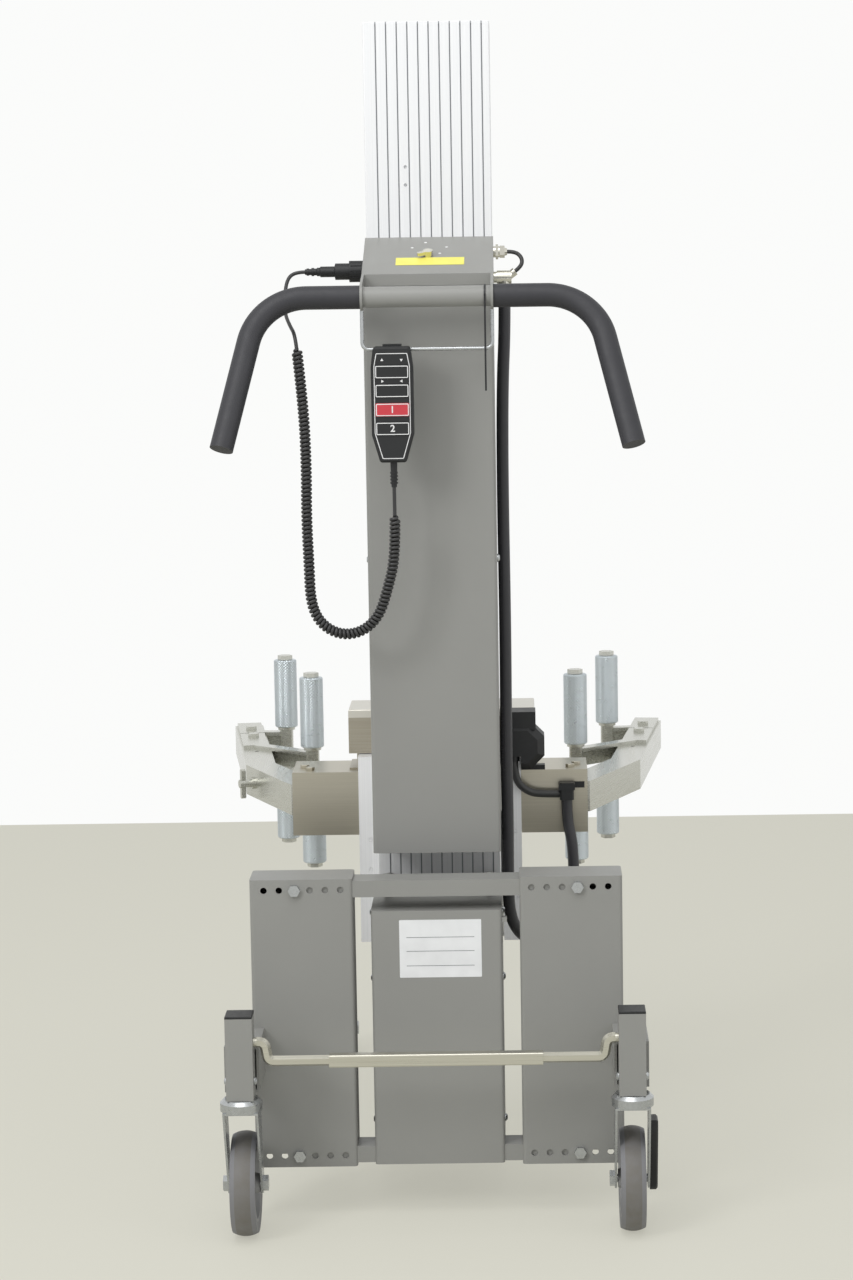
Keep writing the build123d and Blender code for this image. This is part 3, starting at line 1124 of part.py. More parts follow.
with BuildPart() as arm_right:
    with BuildSketch(Plane.XY.offset(ARM_Z - ARM_W / 2)):
        Polygon(*ribbon(ARM_LINE, ARM_W / 2), align=None)
    extrude(amount=ARM_W)
    inner_tip = (ARM_TIP_X - ARM_WALL * TIP_UNIT[0], ARM_TIP_Y - ARM_WALL * TIP_UNIT[1])
    with BuildSketch(Plane.XY.offset(ARM_Z - ARM_W / 2 + ARM_WALL)):
        Polygon(*ribbon([(ARM_ROOT_X - 5, ARM_ROOT_Y), ARM_BEND_1, ARM_BEND_2, inner_tip],
                        ARM_W / 2 - ARM_WALL), align=None)
    extrude(amount=ARM_W - 2 * ARM_WALL, mode=Mode.SUBTRACT)
    with BuildSketch(Plane.XY.offset(ARM_TOP_Z)):
        with Locations(on_arm(335), on_arm(400)):
            Circle(4.1)
        with Locations(on_arm(240)):
            Circle(3)
    extrude(amount=-ARM_WALL, mode=Mode.SUBTRACT)


def roller_bracket(plate_y0, plate_y1, bolt_y, axis, root_y):
    """Plate on the arm, a tongue with a stiffening web, the roller block and its axle."""
    lean = math.degrees(math.atan2(tip_dx, tip_dy))
    centre = on_arm((plate_y0 + plate_y1) / 2)
    length = (plate_y1 - plate_y0) / math.cos(math.radians(lean))
    root = on_arm(root_y)
    away = Vector(axis[0] - root[0], axis[1] - root[1]).normalized()
    edge_gap = (ARM_W / 2 + 1) / max(abs(away.X), 0.3)
    web_root = (root[0] + away.X * edge_gap, root[1] + away.Y * edge_gap)
    with BuildPart() as bracket:
        with BuildSketch(Plane.XY.offset(ARM_TOP_Z)):
            with Locations(Location((centre[0], centre[1]), -lean)):
                Rectangle(ARM_W - 6, length)
            Polygon(*ribbon([root, axis], 9), align=None)
        extrude(amount=BRACKET_T)
        with BuildSketch(Plane.XY.offset(ARM_TOP_Z - BRACKET_H)):
            Polygon(*ribbon([web_root, axis], 3), align=None)
        extrude(amount=BRACKET_H)
        with BuildSketch(Plane.XY.offset(ARM_Z - BLOCK_HALF)):
            with Locations(axis):
                RectangleRounded(POST_BLOCK, POST_BLOCK, 3)
        extrude(amount=2 * BLOCK_HALF)
        axle_half = BLOCK_HALF + ROLLER_SEAT + ROLLER_H + SPIN_GAP + ROLLER_NUT_H
        with BuildSketch(Plane.XY.offset(ARM_Z - axle_half)):
            with Locations(axis):
                Circle(ROLLER_AXLE_D / 2)
        extrude(amount=2 * axle_half)
        for side in (-1, 1):
            with BuildSketch(Plane(origin=(axis[0], axis[1], ARM_Z + side * BLOCK_HALF), z_dir=(0, 0, side))):
                Circle(ROLLER_D / 2 - 4)
            extrude(amount=ROLLER_SEAT - SPIN_GAP)
            nut_z = ARM_Z + side * (axle_half - ROLLER_NUT_H)
            with BuildSketch(Plane(origin=(axis[0], axis[1], nut_z), z_dir=(0, 0, side))):
                RegularPolygon(ROLLER_NUT_D / 2, 6, major_radius=False)
            extrude(amount=ROLLER_NUT_H)
        with BuildSketch(Plane.XY.offset(ARM_TOP_Z + BRACKET_T)):
            with Locations(on_arm(bolt_y)):
                Circle(4.1)
        extrude(amount=-BRACKET_T, mode=Mode.SUBTRACT)
    with BuildPart() as bolt:
        with BuildSketch(Plane.XY.offset(ARM_TOP_Z + BRACKET_T)):
            with Locations(on_arm(bolt_y)):
                RegularPolygon(6.5, 6, major_radius=False)
        extrude(amount=5)
        with BuildSketch(Plane.XY.offset(ARM_TOP_Z + BRACKET_T)):
            with Locations(on_arm(bolt_y)):
                Circle(4)
        extrude(amount=-(BRACKET_T + ARM_WALL + 4))
    return bracket.part, bolt.part


near_bracket, near_bolt = roller_bracket(262, 367, 335, NEAR_ROLLER, 272)
far_bracket, far_bolt = roller_bracket(370, 462, 400, FAR_ROLLER, 385)
arm_group = [arm_right.part, near_bracket, near_bolt, far_bracket, far_bolt]
pieces["arm_right"] = Compound(children=arm_group)

# Lock screw with a wing head on the left arm, near its elbow
LOCK_SCREW_Y = 112.0
seg_x = ARM_BEND_2[0] - ARM_BEND_1[0]
seg_y = ARM_BEND_2[1] - ARM_BEND_1[1]
seg_len = math.hypot(seg_x, seg_y)
OUT = Vector(seg_y / seg_len, -seg_x / seg_len, 0)
face_mid = Vector(ARM_BEND_1[0] + (LOCK_SCREW_Y - ARM_BEND_1[1]) * seg_x / seg_y, LOCK_SCREW_Y, ARM_Z)
face_at = face_mid + OUT * (ARM_W / 2)
with BuildPart() as lock_screw:
    with BuildSketch(Plane(origin=face_at, z_dir=OUT)):
        Circle(8)
    extrude(amount=4)
    with BuildSketch(Plane(origin=face_at + OUT * 4, z_dir=OUT)):
        Circle(5.5)
    extrude(amount=16)
    with BuildSketch(Plane(origin=face_at + OUT * 12, x_dir=(0, 0, 1), z_dir=OUT)):
        SlotOverall(40, 7)
    extrude(amount=6)
pieces["arm_left"] = Compound(children=[mirrored(p) for p in arm_group + [lock_screw.part]])


def roller(axis, bottom_z):
    """Roller with bevelled ends and a bore that runs on the axle."""
    with BuildPart() as barrel:
        with BuildSketch(Plane.XY.offset(bottom_z)):
            with Locations(axis):
                Circle(ROLLER_D / 2)
        extrude(amount=ROLLER_H)
        chamfer(barrel.edges().filter_by(GeomType.CIRCLE), 1.5)
        with BuildSketch(Plane.XY.offset(bottom_z)):
            with Locations(axis):
                Circle(ROLLER_AXLE_D / 2 + RUNNING_FIT)
        extrude(amount=ROLLER_H, mode=Mode.SUBTRACT)
    return barrel.part


UPPER_ROLLER_Z = ARM_Z + BLOCK_HALF + ROLLER_SEAT
LOWER_ROLLER_Z = ARM_Z - BLOCK_HALF - ROLLER_SEAT - ROLLER_H
for place, axis in (("near", NEAR_ROLLER), ("far", FAR_ROLLER)):
    for level, bottom_z in (("upper", UPPER_ROLLER_Z), ("lower", LOWER_ROLLER_Z)):
        barrel_part = roller(axis, bottom_z)
        pieces[f"roller_{place}_{level}_right"] = barrel_part
        pieces[f"roller_{place}_{level}_left"] = mirrored(barrel_part)

# Cords: the handset cord, the cable on the head, the braided sleeve and the motor cable
PLUG_TIP_X = -HEAD_W / 2 - 71
COIL_TOP = (-156.0, -296.0, 1052.0)
COIL_END = (HANDSET_X, HANDSET_Y, 853.0)
pieces["plug_tail"] = cord("plug_tail", [
    (PLUG_TIP_X, PLUG_Y, PLUG_Z), (-162, PLUG_Y, PLUG_Z), (-171.5, -209, 1133), (-174, -226, 1112),
    (-172, -252, 1092), (-164.5, -276, 1078), (-157.8, -294.2, 1068.8), COIL_TOP,
], TAIL_D)
pieces["curly_cord"] = cord("curly_cord", [
    COIL_TOP, (-149, -303, 985), (-146.5, -309, 915), (-147.5, -313, 850), (-145.5, -315, 793),
    (-144.5, -317, 752), (-136, -317, 728.5), (-118.4, -317, 713.7), (-96.7, -317, 710.3),
    (-76.3, -317, 718.5), (-61.5, -317, 736.1), (-52.8, -317, 762.7), (HANDSET_X, HANDSET_Y, 803), COIL_END,
], COIL_D)
pieces["handset_tail"] = cord("handset_tail", [
    COIL_END, (HANDSET_X, HANDSET_Y, HANDSET_BOTTOM_Z - 30),
], TAIL_D)
pieces["head_cable"] = cord("head_cable", [
    (SOCKET_OUT + 17, GLAND_Y, GLAND_Z), (SOCKET_OUT + 27.5, GLAND_Y, GLAND_Z),
    (SOCKET_OUT + 35.5, GLAND_Y - 3, GLAND_Z - 8), tuple(ELBOW_TIP + ELBOW_DIR * 10),
    tuple(ELBOW_TIP),
], FITTING_CABLE_D)
SLEEVE_SPLIT = (170.5, -81.5, 375.0)
pieces["sleeve_fixed"] = cord("sleeve_fixed", [
    (SOCKET_OUT + 13, SOCKET_Y, SOCKET_Z - 13), (SOCKET_OUT + 13, SOCKET_Y, 1070), (88, -169, 998),
    (86.5, -171, 878), (87.5, -171, 700), (86.5, -172, 555), (87.2, -170.5, 447), (86.6, -171, 380), (87.5, -169.5, 335),
    (98.7, -158, 307.3), (118, -138.2, 291.3), (140.4, -115.3, 291.3), (159.8, -95.4, 307.3),
    (171, -84, 335), SLEEVE_SPLIT,
], SLEEVE_D)
pieces["sleeve_moving"] = cord("sleeve_moving", [
    SLEEVE_SPLIT, (170.125, -79.625, 405), (JOINT_BLOCK_X, JOINT_BLOCK_Y, 434), (JOINT_BLOCK_X, JOINT_BLOCK_Y, JOINT_BLOCK_Z0),
], SLEEVE_D)
pieces["motor_cable"] = cord("motor_cable", [
    (JOINT_BLOCK_X - 9, -70, 469), (133, -70, 469), (113, -74, 472.5), (MOTOR_GLAND_X, MOTOR_REAR_Y + 10, 490),
    (MOTOR_GLAND_X, MOTOR_REAR_Y + 10, HOOD_FLANGE_Z - 7),
], MOTOR_CABLE_D)

for label, piece in pieces.items():
    piece.label = label
    export_step(piece, f"parts/{label}.step")
print(len(pieces), "pieces")
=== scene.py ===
import json
import math
import bmesh
import bpy
from mathutils import Matrix, Vector


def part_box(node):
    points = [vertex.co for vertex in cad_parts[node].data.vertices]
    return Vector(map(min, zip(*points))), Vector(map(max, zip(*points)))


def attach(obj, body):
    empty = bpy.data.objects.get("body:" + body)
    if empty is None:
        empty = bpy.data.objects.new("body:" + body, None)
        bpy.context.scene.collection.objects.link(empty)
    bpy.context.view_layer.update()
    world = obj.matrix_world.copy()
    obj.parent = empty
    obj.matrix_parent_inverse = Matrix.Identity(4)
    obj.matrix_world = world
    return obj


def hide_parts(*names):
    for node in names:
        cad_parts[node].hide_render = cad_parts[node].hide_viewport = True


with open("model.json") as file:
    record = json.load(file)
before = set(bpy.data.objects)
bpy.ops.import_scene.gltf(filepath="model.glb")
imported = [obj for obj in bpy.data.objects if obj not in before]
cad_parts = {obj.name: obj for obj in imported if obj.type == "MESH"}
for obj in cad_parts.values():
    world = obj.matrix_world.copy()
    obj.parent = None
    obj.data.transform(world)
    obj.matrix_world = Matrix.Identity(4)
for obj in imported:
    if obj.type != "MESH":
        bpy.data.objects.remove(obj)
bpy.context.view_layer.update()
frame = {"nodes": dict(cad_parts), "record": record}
scene = bpy.context.scene

# Camera. The picture was taken with a long lens a little above the handlebar, looking slightly
# down, with the trolley left of the optical axis.
EYE = (0.103, -4.120, 1.202)
TILT = math.radians(82.5)
ROLL = -0.0135
lens = bpy.data.cameras.new("camera")
lens.lens, lens.sensor_width = 90, 36
lens.shift_x = -0.0715
lens.clip_end = 60
camera = bpy.data.objects.new("camera", lens)
scene.collection.objects.link(camera)
camera.matrix_world = Matrix.Translation(EYE) @ Matrix.Rotation(TILT, 4, "X") @ Matrix.Rotation(ROLL, 4, "Z")
scene.camera = camera
scene.view_settings.view_transform = "Standard"


# Studio. A pale matt floor in a white surround, with a soft lamp from the left, a wide one
# overhead and a weak one from the right, so that the shade falls to the right as in the picture.
class Link:
    """A node's output, on which Python's own operators add Math nodes."""
    def __init__(self, graph, socket):
        self.graph, self.socket = graph, socket

    def __add__(self, other):
        return maths("ADD", self, other)

    def __sub__(self, other):
        return maths("SUBTRACT", self, other)

    def __rsub__(self, other):
        return maths("SUBTRACT", other, self)

    def __mul__(self, other):
        return maths("MULTIPLY", self, other)

    def __gt__(self, other):
        return maths("GREATER_THAN", self, other)

    __radd__, __rmul__ = __add__, __mul__


def maths(operation, *values):
    """A Math node on links and numbers."""
    graph = next(value.graph for value in values if isinstance(value, Link))
    return graph.put("ShaderNodeMath", {"operation": operation}, dict(enumerate(values)))


class Graph:
    """A tree of shader nodes, of a material or of the world."""
    def __init__(self, owner):
        owner.use_nodes = True
        self.tree = owner.node_tree

    def put(self, kind, settings, sockets, out=0):
        """Adds a node, with values or links in its sockets, and gives one of its outputs."""
        node = self.tree.nodes.new(kind)
        for setting, value in settings.items():
            setattr(node, setting, value)
        for socket, value in sockets.items():
            if isinstance(value, Link):
                self.tree.links.new(value.socket, node.inputs[socket])
            else:
                node.inputs[socket].default_value = value
        return Link(self, node.outputs[out])

    def show(self, output, link):
        """Makes this link what the tree's output node shows."""
        self.tree.links.new(link.socket, self.tree.nodes[output].inputs["Surface"])

    def seen_rays(self):
        """1 for rays of the camera, of a reflection and through clear pieces, else 0."""
        camera_ray, glossy_ray, clear_ray = [self.put("ShaderNodeLightPath", {}, {}, f"Is {ray} Ray")
                                             for ray in ("Camera", "Glossy", "Transmission")]
        return camera_ray + glossy_ray + clear_ray


class Finish(Graph):
    """A surface finish. Its colour is given as it is seen, and turned into linear light here."""
    def __init__(self, name, colour, roughness, metallic=0.0, **fixed):
        self.material = bpy.data.materials.new(name)
        super().__init__(self.material)
        self.shader = self.tree.nodes["Principled BSDF"]
        self.colour = tuple(((c + 0.055) / 1.055) ** 2.4 for c in colour)
        self.shader.inputs["Base Color"].default_value = (*self.colour, 1)
        self.shader.inputs["Roughness"].default_value = roughness
        self.shader.inputs["Metallic"].default_value = metallic
        for socket, value in fixed.items():
            self.shader.inputs[socket.replace("_", " ")].default_value = value

    def feed(self, socket, link):
        self.tree.links.new(link.socket, self.shader.inputs[socket])

    def place(self, stretch=(1, 1, 1), centre=(0, 0, 0)):
        """Object coordinates about a centre, stretched along the axes."""
        here = self.put("ShaderNodeTexCoord", {}, {}, "Object")
        moved = self.put("ShaderNodeVectorMath", {"operation": "SUBTRACT"}, {0: here, 1: centre})
        return self.put("ShaderNodeVectorMath", {"operation": "MULTIPLY"}, {0: moved, 1: stretch})

    def split(self, vector):
        """The X, Y and Z of a vector."""
        return [self.put("ShaderNodeSeparateXYZ", {}, {0: vector}, axis) for axis in range(3)]

    def noise(self, scale, stretch=(1, 1, 1), detail=3.0):
        return self.put("ShaderNodeTexNoise", {},
                        {"Vector": self.place(stretch), "Scale": scale, "Detail": detail}, "Fac")

    def mix(self, mask, one, other):
        return self.put("ShaderNodeMix", {"data_type": "RGBA"}, {0: mask, 6: one, 7: other}, 2)

    def tint(self, mask, low, high):
        """The base colour between two of its own shades."""
        shades = [tuple(min(1, c * k) for c in self.colour) + (1,) for k in (low, high)]
        self.feed("Base Color", self.mix(mask, *shades))

    def bump(self, height, distance, strength=1.0):
        sockets = {"Height": height, "Distance": distance, "Strength": strength}
        self.feed("Normal", self.put("ShaderNodeBump", {}, sockets))


FLOOR_REACH = 2.25
FLOOR_SEEN = 0.62
pale_floor = Finish("studio_floor", (0.88, 0.875, 0.83), 0.7)
lit = Link(pale_floor, pale_floor.shader.outputs[0])
glow = pale_floor.put("ShaderNodeEmission", {}, {"Color": (0.70, 0.69, 0.60, 1), "Strength": 1.0})
share = pale_floor.seen_rays() * FLOOR_SEEN
pale_floor.show("Material Output", pale_floor.put("ShaderNodeMixShader", {}, {0: share, 1: lit, 2: glow}))
ground = bmesh.new()
bmesh.ops.create_grid(ground, x_segments=2, y_segments=2, size=FLOOR_REACH)
floor_mesh = bpy.data.meshes.new("floor")
ground.to_mesh(floor_mesh)
ground.free()
floor = bpy.data.objects.new("floor", floor_mesh)
floor_mesh.materials.append(pale_floor.material)
scene.collection.objects.link(floor)

AMBIENT = 0.50
world = bpy.data.worlds.new("studio")
scene.world = world
sky = Graph(world)
around = sky.tree.nodes["Background"]
around.inputs["Color"].default_value = (0.97, 0.98, 1.0, 1)
around.inputs["Strength"].default_value = AMBIENT
backdrop = sky.put("ShaderNodeBackground", {}, {"Color": (0.965, 0.97, 0.96, 1), "Strength": 1.0})
sky.show("World Output", sky.put("ShaderNodeMixShader", {},
                                 {0: sky.seen_rays(), 1: Link(sky, around.outputs[0]), 2: backdrop}))


def lamp(name, place, aim, size, watts):
    """A square lamp of this side, turned to what it lights."""
    light = bpy.data.lights.new(name, "AREA")
    light.size, light.energy = size, watts
    thing = bpy.data.objects.new(name, light)
    thing.location = place
    thing.rotation_euler = (Vector(aim) - Vector(place)).to_track_quat("-Z", "Y").to_euler()
    scene.collection.objects.link(thing)


lamp("overhead_lamp", (-0.4, -1.6, 3.3), (0, -0.1, 1.0), 2.0, 34)
lamp("soft_lamp", (-2.6, -3.6, 3.0), (0, 0, 1.0), 1.4, 62)
lamp("fill_lamp", (3.4, -3.0, 2.6), (0, 0, 0.9), 2.4, 18)

# Painted steelwork: side boxes, legs, posts, crossbars, housing, cheeks, rear cover, head and the
# handlebar's tube. Folded sheet and tube in one satin powder coat with a slight orange peel.
slots = {row["node"]: row["material_slot"] for row in frame["record"]["subparts"]}


def of_finish(slot):
    """The nodes that the record gives this material slot."""
    return [name for name, its in slots.items() if its == slot]


def dress(names, finish):
    """Gives CAD pieces a finish."""
    for name in names:
        for place in frame["nodes"][name].material_slots:
            place.material = finish.material


paint = Finish("grey_paint", (0.59, 0.59, 0.575), 0.42, Specular_IOR_Level=0.4)
paint.tint(paint.noise(7, detail=4), 0.92, 1.05)
paint.feed("Roughness", paint.noise(30) * 0.16 + 0.36)
paint.bump(paint.noise(900, detail=1), 0.00006, 0.6)
dress(of_finish("grey_paint"), paint)

# Plated fixings and forks: hex bolts, dome screws, castor forks and the wire hanger, pressed or
# drawn in steel and bright zinc plated, with a faint spangle.
zinc = Finish("zinc_plate", (0.70, 0.71, 0.715), 0.26, 0.9)
spangle = zinc.put("ShaderNodeTexVoronoi", {}, {"Vector": zinc.place(), "Scale": 260}, "Distance")
zinc.tint(spangle, 0.92, 1.06)
zinc.feed("Roughness", zinc.noise(120) * 0.25 + 0.16)
zinc.bump(zinc.noise(700), 0.00004, 0.5)
dress(of_finish("zinc_plate"), zinc)

# Bright fittings of the head: the toggle of the switch on its slope, and the gland and socket on
# its right side, turned and nickel plated.
nickel = Finish("bright_metal", (0.80, 0.79, 0.75), 0.2, 1.0)
nickel.feed("Roughness", nickel.noise(90) * 0.14 + 0.14)
dress(of_finish("bright_metal"), nickel)

# Castor wheels: a grey rubber tyre, browned where it runs on the floor, on a moulded grey hub
# with the axle and its nuts. The three are told apart by shares of the wheel's radius.
TREAD_FROM = 0.975
HUB_TO = 0.74
AXLE_TO = 0.15


def wheel_finish(name):
    low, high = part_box(name)
    middle = (Vector(low) + Vector(high)) / 2
    radius = (high[2] - low[2]) / 2
    tyre = Finish(name + "_finish", (0.50, 0.50, 0.51), 0.62)
    ahead, up = tyre.split(tyre.place(centre=tuple(middle)))[1:]
    out = maths("SQRT", ahead * ahead + up * up)
    dirt = (out > radius * TREAD_FROM) * (tyre.noise(60) * 0.7 + 0.2)
    hub = 1 - (out > radius * HUB_TO)
    steel = 1 - (out > radius * AXLE_TO)
    rubber_colour = tyre.mix(dirt, (*tyre.colour, 1), (0.15, 0.135, 0.105, 1))
    wheel_colour = tyre.mix(hub, rubber_colour, (0.30, 0.30, 0.30, 1))
    tyre.feed("Base Color", tyre.mix(steel, wheel_colour, (0.55, 0.55, 0.53, 1)))
    tyre.feed("Metallic", steel * 0.9)
    tyre.feed("Roughness", tyre.noise(200) * 0.2 + 0.5)
    tyre.bump(tyre.noise(500), 0.0001, 0.5)
    dress([name], tyre)


for wheel in of_finish("wheel_rubber"):
    wheel_finish(wheel)

# Mast: one aluminium extrusion, satin anodised, with the drawing lines of its die along it and
# fine grooves down its back, painted dark as shade inside. The carriage's frame has the same finish.
GROOVE_PITCH = 0.013
GROOVE_MIDDLE_X = 0.003
GROOVE_HALF_WIDE = 0.0008
GROOVED_HALF_WIDE = 0.0665
GROOVE_FLOOR_Y = -0.1370
ANODISED = (0.95, 0.955, 0.96)
DRAWN_GRAIN = (700, 700, 1.5)


def brushed(name, colour, grain, roughness, metallic=0.85, streak=0.15):
    """Metal with fine lines along the axis where grain is small."""
    metal = Finish(name, colour, roughness, metallic)
    lines = metal.noise(1.0, grain, 2.0)
    metal.tint(lines, 1 - streak, 1 + streak)
    metal.feed("Roughness", lines * 0.2 + (roughness - 0.1))
    metal.bump(lines, 0.00003, 0.4)
    return metal


dress(["carriage_frame"], brushed("mast_metal", ANODISED, DRAWN_GRAIN, 0.34, 0.2))
grooved = Finish("grooved_mast", ANODISED, 0.34, 0.2)
across, ahead = grooved.split(grooved.place(centre=(GROOVE_MIDDLE_X, 0, 0)))[:2]
beside = maths("PINGPONG", across, GROOVE_PITCH / 2)
at_groove = 1 - (beside > GROOVE_HALF_WIDE)
at_back = 1 - (ahead > GROOVE_FLOOR_Y)
inside = 1 - (maths("ABSOLUTE", across) > GROOVED_HALF_WIDE)
drawn = grooved.noise(1.0, DRAWN_GRAIN, 2.0)
pale = grooved.mix(drawn, (0.80, 0.81, 0.82, 1), (0.95, 0.955, 0.96, 1))
# The grooves on the back are painted dark grey: painted shade inside them.
grooved.feed("Base Color", grooved.mix(at_groove * at_back * inside, pale, (0.34, 0.35, 0.37, 1)))
grooved.feed("Roughness", drawn * 0.2 + 0.25)
grooved.bump(drawn, 0.00005, 0.5)
dress(["mast"], grooved)

# Stainless steel: the gripper box and its hood are folded sheet, brushed across the trolley. The
# hood's sides below its top are painted dark as shade, its top lighter. The bent arms are brushed
# along their length, and so is the lock bar.
HOOD_TOP_FROM_Z = 0.5675
CROSSWISE_GRAIN = (6, 900, 900)
dress(["gripper_box"], brushed("brushed_sheet", (0.71, 0.69, 0.63), CROSSWISE_GRAIN, 0.33))
hood_metal = Finish("hood_metal", (0.66, 0.63, 0.57), 0.33, 0.85)
scratch = hood_metal.noise(1.0, CROSSWISE_GRAIN, 2.0)
level = hood_metal.split(hood_metal.place())[2]
# Below the top's height the hood gets painted shade, darker brushed tones; above it a lighter top.
shaded_brushed_sides = hood_metal.mix(scratch, (0.31, 0.28, 0.22, 1), (0.44, 0.41, 0.34, 1))
hood_metal.feed("Base Color", hood_metal.mix(level > HOOD_TOP_FROM_Z, shaded_brushed_sides, (0.62, 0.60, 0.54, 1)))
hood_metal.feed("Roughness", scratch * 0.22 + 0.22)
hood_metal.bump(scratch, 0.00005, 0.5)
dress(["hood"], hood_metal)
dress(["arm_left", "arm_right"], brushed("brushed_arm", (0.77, 0.77, 0.74), (90, 5, 300), 0.27, streak=0.07))
dress(["lock_bar"], brushed("brushed_bar", (0.78, 0.77, 0.72), (6, 700, 700), 0.3))

# Rollers: turned aluminium barrels with a diamond knurl, which two sets of slanted ridges make
# where they cross, painted lighter on the diamonds as highlight and darker between them as shade.
# Each spins on the axle of its block.
ROLLER_RADIUS = 0.016
KNURL_ROWS = 24
ROWS_PER_RADIAN = KNURL_ROWS / math.tau
for roller in of_finish("knurled_aluminium"):
    low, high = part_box(roller)
    middle = (Vector(low) + Vector(high)) / 2
    knurl = Finish(roller + "_finish", (0.74, 0.77, 0.79), 0.3, 0.9)
    across, ahead, up = knurl.split(knurl.place(centre=tuple(middle)))
    turn = maths("ARCTAN2", ahead, across) * ROWS_PER_RADIAN
    climb = up * (ROWS_PER_RADIAN / ROLLER_RADIUS)
    ridge = maths("MINIMUM", maths("PINGPONG", turn + climb, 0.5), maths("PINGPONG", turn - climb, 0.5))
    # Painted highlight on the knurl's diamonds and painted shade between them.
    knurl.tint(ridge * 2, 0.80, 1.60)
    knurl.feed("Roughness", knurl.noise(200) * 0.2 + 0.2)
    knurl.bump(ridge, 0.0012, 0.9)
    dress([roller], knurl)


# Moulded parts: handset case and keys, cord plug, post caps, motor, clip and castor cover in
# black plastic, one red key, the pale slide guides, and the rubber of the grips and leads.
def moulded(name, colour, roughness):
    plastic = Finish(name, colour, roughness, Specular_IOR_Level=0.45)
    plastic.tint(plastic.noise(40), 0.88, 1.1)
    plastic.feed("Roughness", plastic.noise(150) * 0.18 + (roughness - 0.09))
    plastic.bump(plastic.noise(1400, detail=2), 0.00005, 0.6)
    return plastic


dress(of_finish("black_plastic"), moulded("black_plastic", (0.10, 0.105, 0.11), 0.5))
dress(of_finish("red_plastic"), moulded("red_plastic", (0.80, 0.25, 0.29), 0.4))
dress(of_finish("guide_plastic"), moulded("guide_plastic", (0.85, 0.85, 0.82), 0.5))
dress(of_finish("grip_rubber"), moulded("grip_rubber", (0.20, 0.20, 0.215), 0.55))
rubber = moulded("cord_rubber", (0.20, 0.20, 0.20), 0.38)
dress(of_finish("cord_rubber"), rubber)

# Straight leads: thin round rubber cords. One hangs from the plug on the left, one enters the
# handset from below, and a thicker one joins the two fittings on the head's right side.
LEAD_THICK = 0.0045
HEAD_CABLE_THICK = 0.005
PLUG_ROUTE = [(-0.150, -0.203, 1.141), (-0.162, -0.203, 1.141), (-0.1715, -0.209, 1.133),
              (-0.174, -0.226, 1.112), (-0.172, -0.252, 1.092), (-0.1645, -0.276, 1.078),
              (-0.1578, -0.2942, 1.0688), (-0.156, -0.296, 1.052)]
HANDSET_ROUTE = [(-0.042, -0.31625, 0.853), (-0.042, -0.31625, 0.870), (-0.042, -0.31625, 0.887)]
HEAD_ROUTE = [(0.096, -0.160, 1.162), (0.1065, -0.160, 1.162), (0.1145, -0.163, 1.154),
              (0.1136, -0.166, 1.1442), (0.1056, -0.166, 1.1382)]


def spline_object(name, points, thick, steps):
    """A curve along a smooth spline whose control points are the route's."""
    curve = bpy.data.curves.new(name, "CURVE")
    curve.dimensions = "3D"
    curve.bevel_depth, curve.bevel_resolution, curve.resolution_u = (1 if thick else 0), 5, steps
    curve.use_fill_caps = True
    spline = curve.splines.new("NURBS")
    spline.points.add(len(points) - 1)
    for knot, point in zip(spline.points, points):
        knot.co, knot.radius = (*point, 1), thick / 2
    spline.order_u = 3
    spline.use_endpoint_u = True
    thing = bpy.data.objects.new(name, curve)
    scene.collection.objects.link(thing)
    return thing


def lead(name, node, points, thick, body, finish, steps):
    """A round cord in the place of its CAD node."""
    thing = spline_object(name, points, thick, steps)
    thing.data.materials.append(finish.material)
    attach(thing, body)
    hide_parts(node)
    return thing


plug_tail = lead("plug_lead", "plug_tail", PLUG_ROUTE, LEAD_THICK, "chassis", rubber, 12)
handset_tail = lead("handset_lead", "handset_tail", HANDSET_ROUTE, LEAD_THICK, "chassis", rubber, 12)
head_cable = lead("head_lead", "head_cable", HEAD_ROUTE, HEAD_CABLE_THICK, "chassis", rubber, 12)

# The curly part of the handset lead: the same thin rubber cord, wound into a close helix. Its
# first and last turns open out of the straight tails.
TURN_PITCH = 0.0049
TURN_RADIUS = 0.00475
STEPS_PER_TURN = 12
AXIS_STEPS = 40
CURLY_ROUTE = [(-0.156, -0.296, 1.052), (-0.149, -0.303, 0.985), (-0.1465, -0.309, 0.915),
               (-0.1475, -0.313, 0.850), (-0.1455, -0.315, 0.793), (-0.1445, -0.317, 0.752),
               (-0.136, -0.317, 0.7285), (-0.1184, -0.317, 0.7137), (-0.0967, -0.317, 0.7103),
               (-0.0763, -0.317, 0.7185), (-0.0615, -0.317, 0.7361), (-0.0528, -0.317, 0.7627),
               (-0.042, -0.31625, 0.803), (-0.042, -0.31625, 0.853)]


def centreline(points):
    """Closely spaced points read from the route's own spline."""
    thing = spline_object("measure", points, 0, AXIS_STEPS)
    line = bpy.data.meshes.new_from_object(thing.evaluated_get(bpy.context.evaluated_depsgraph_get()))
    found = [vertex.co.copy() for vertex in line.vertices]
    bpy.data.objects.remove(thing)
    return found


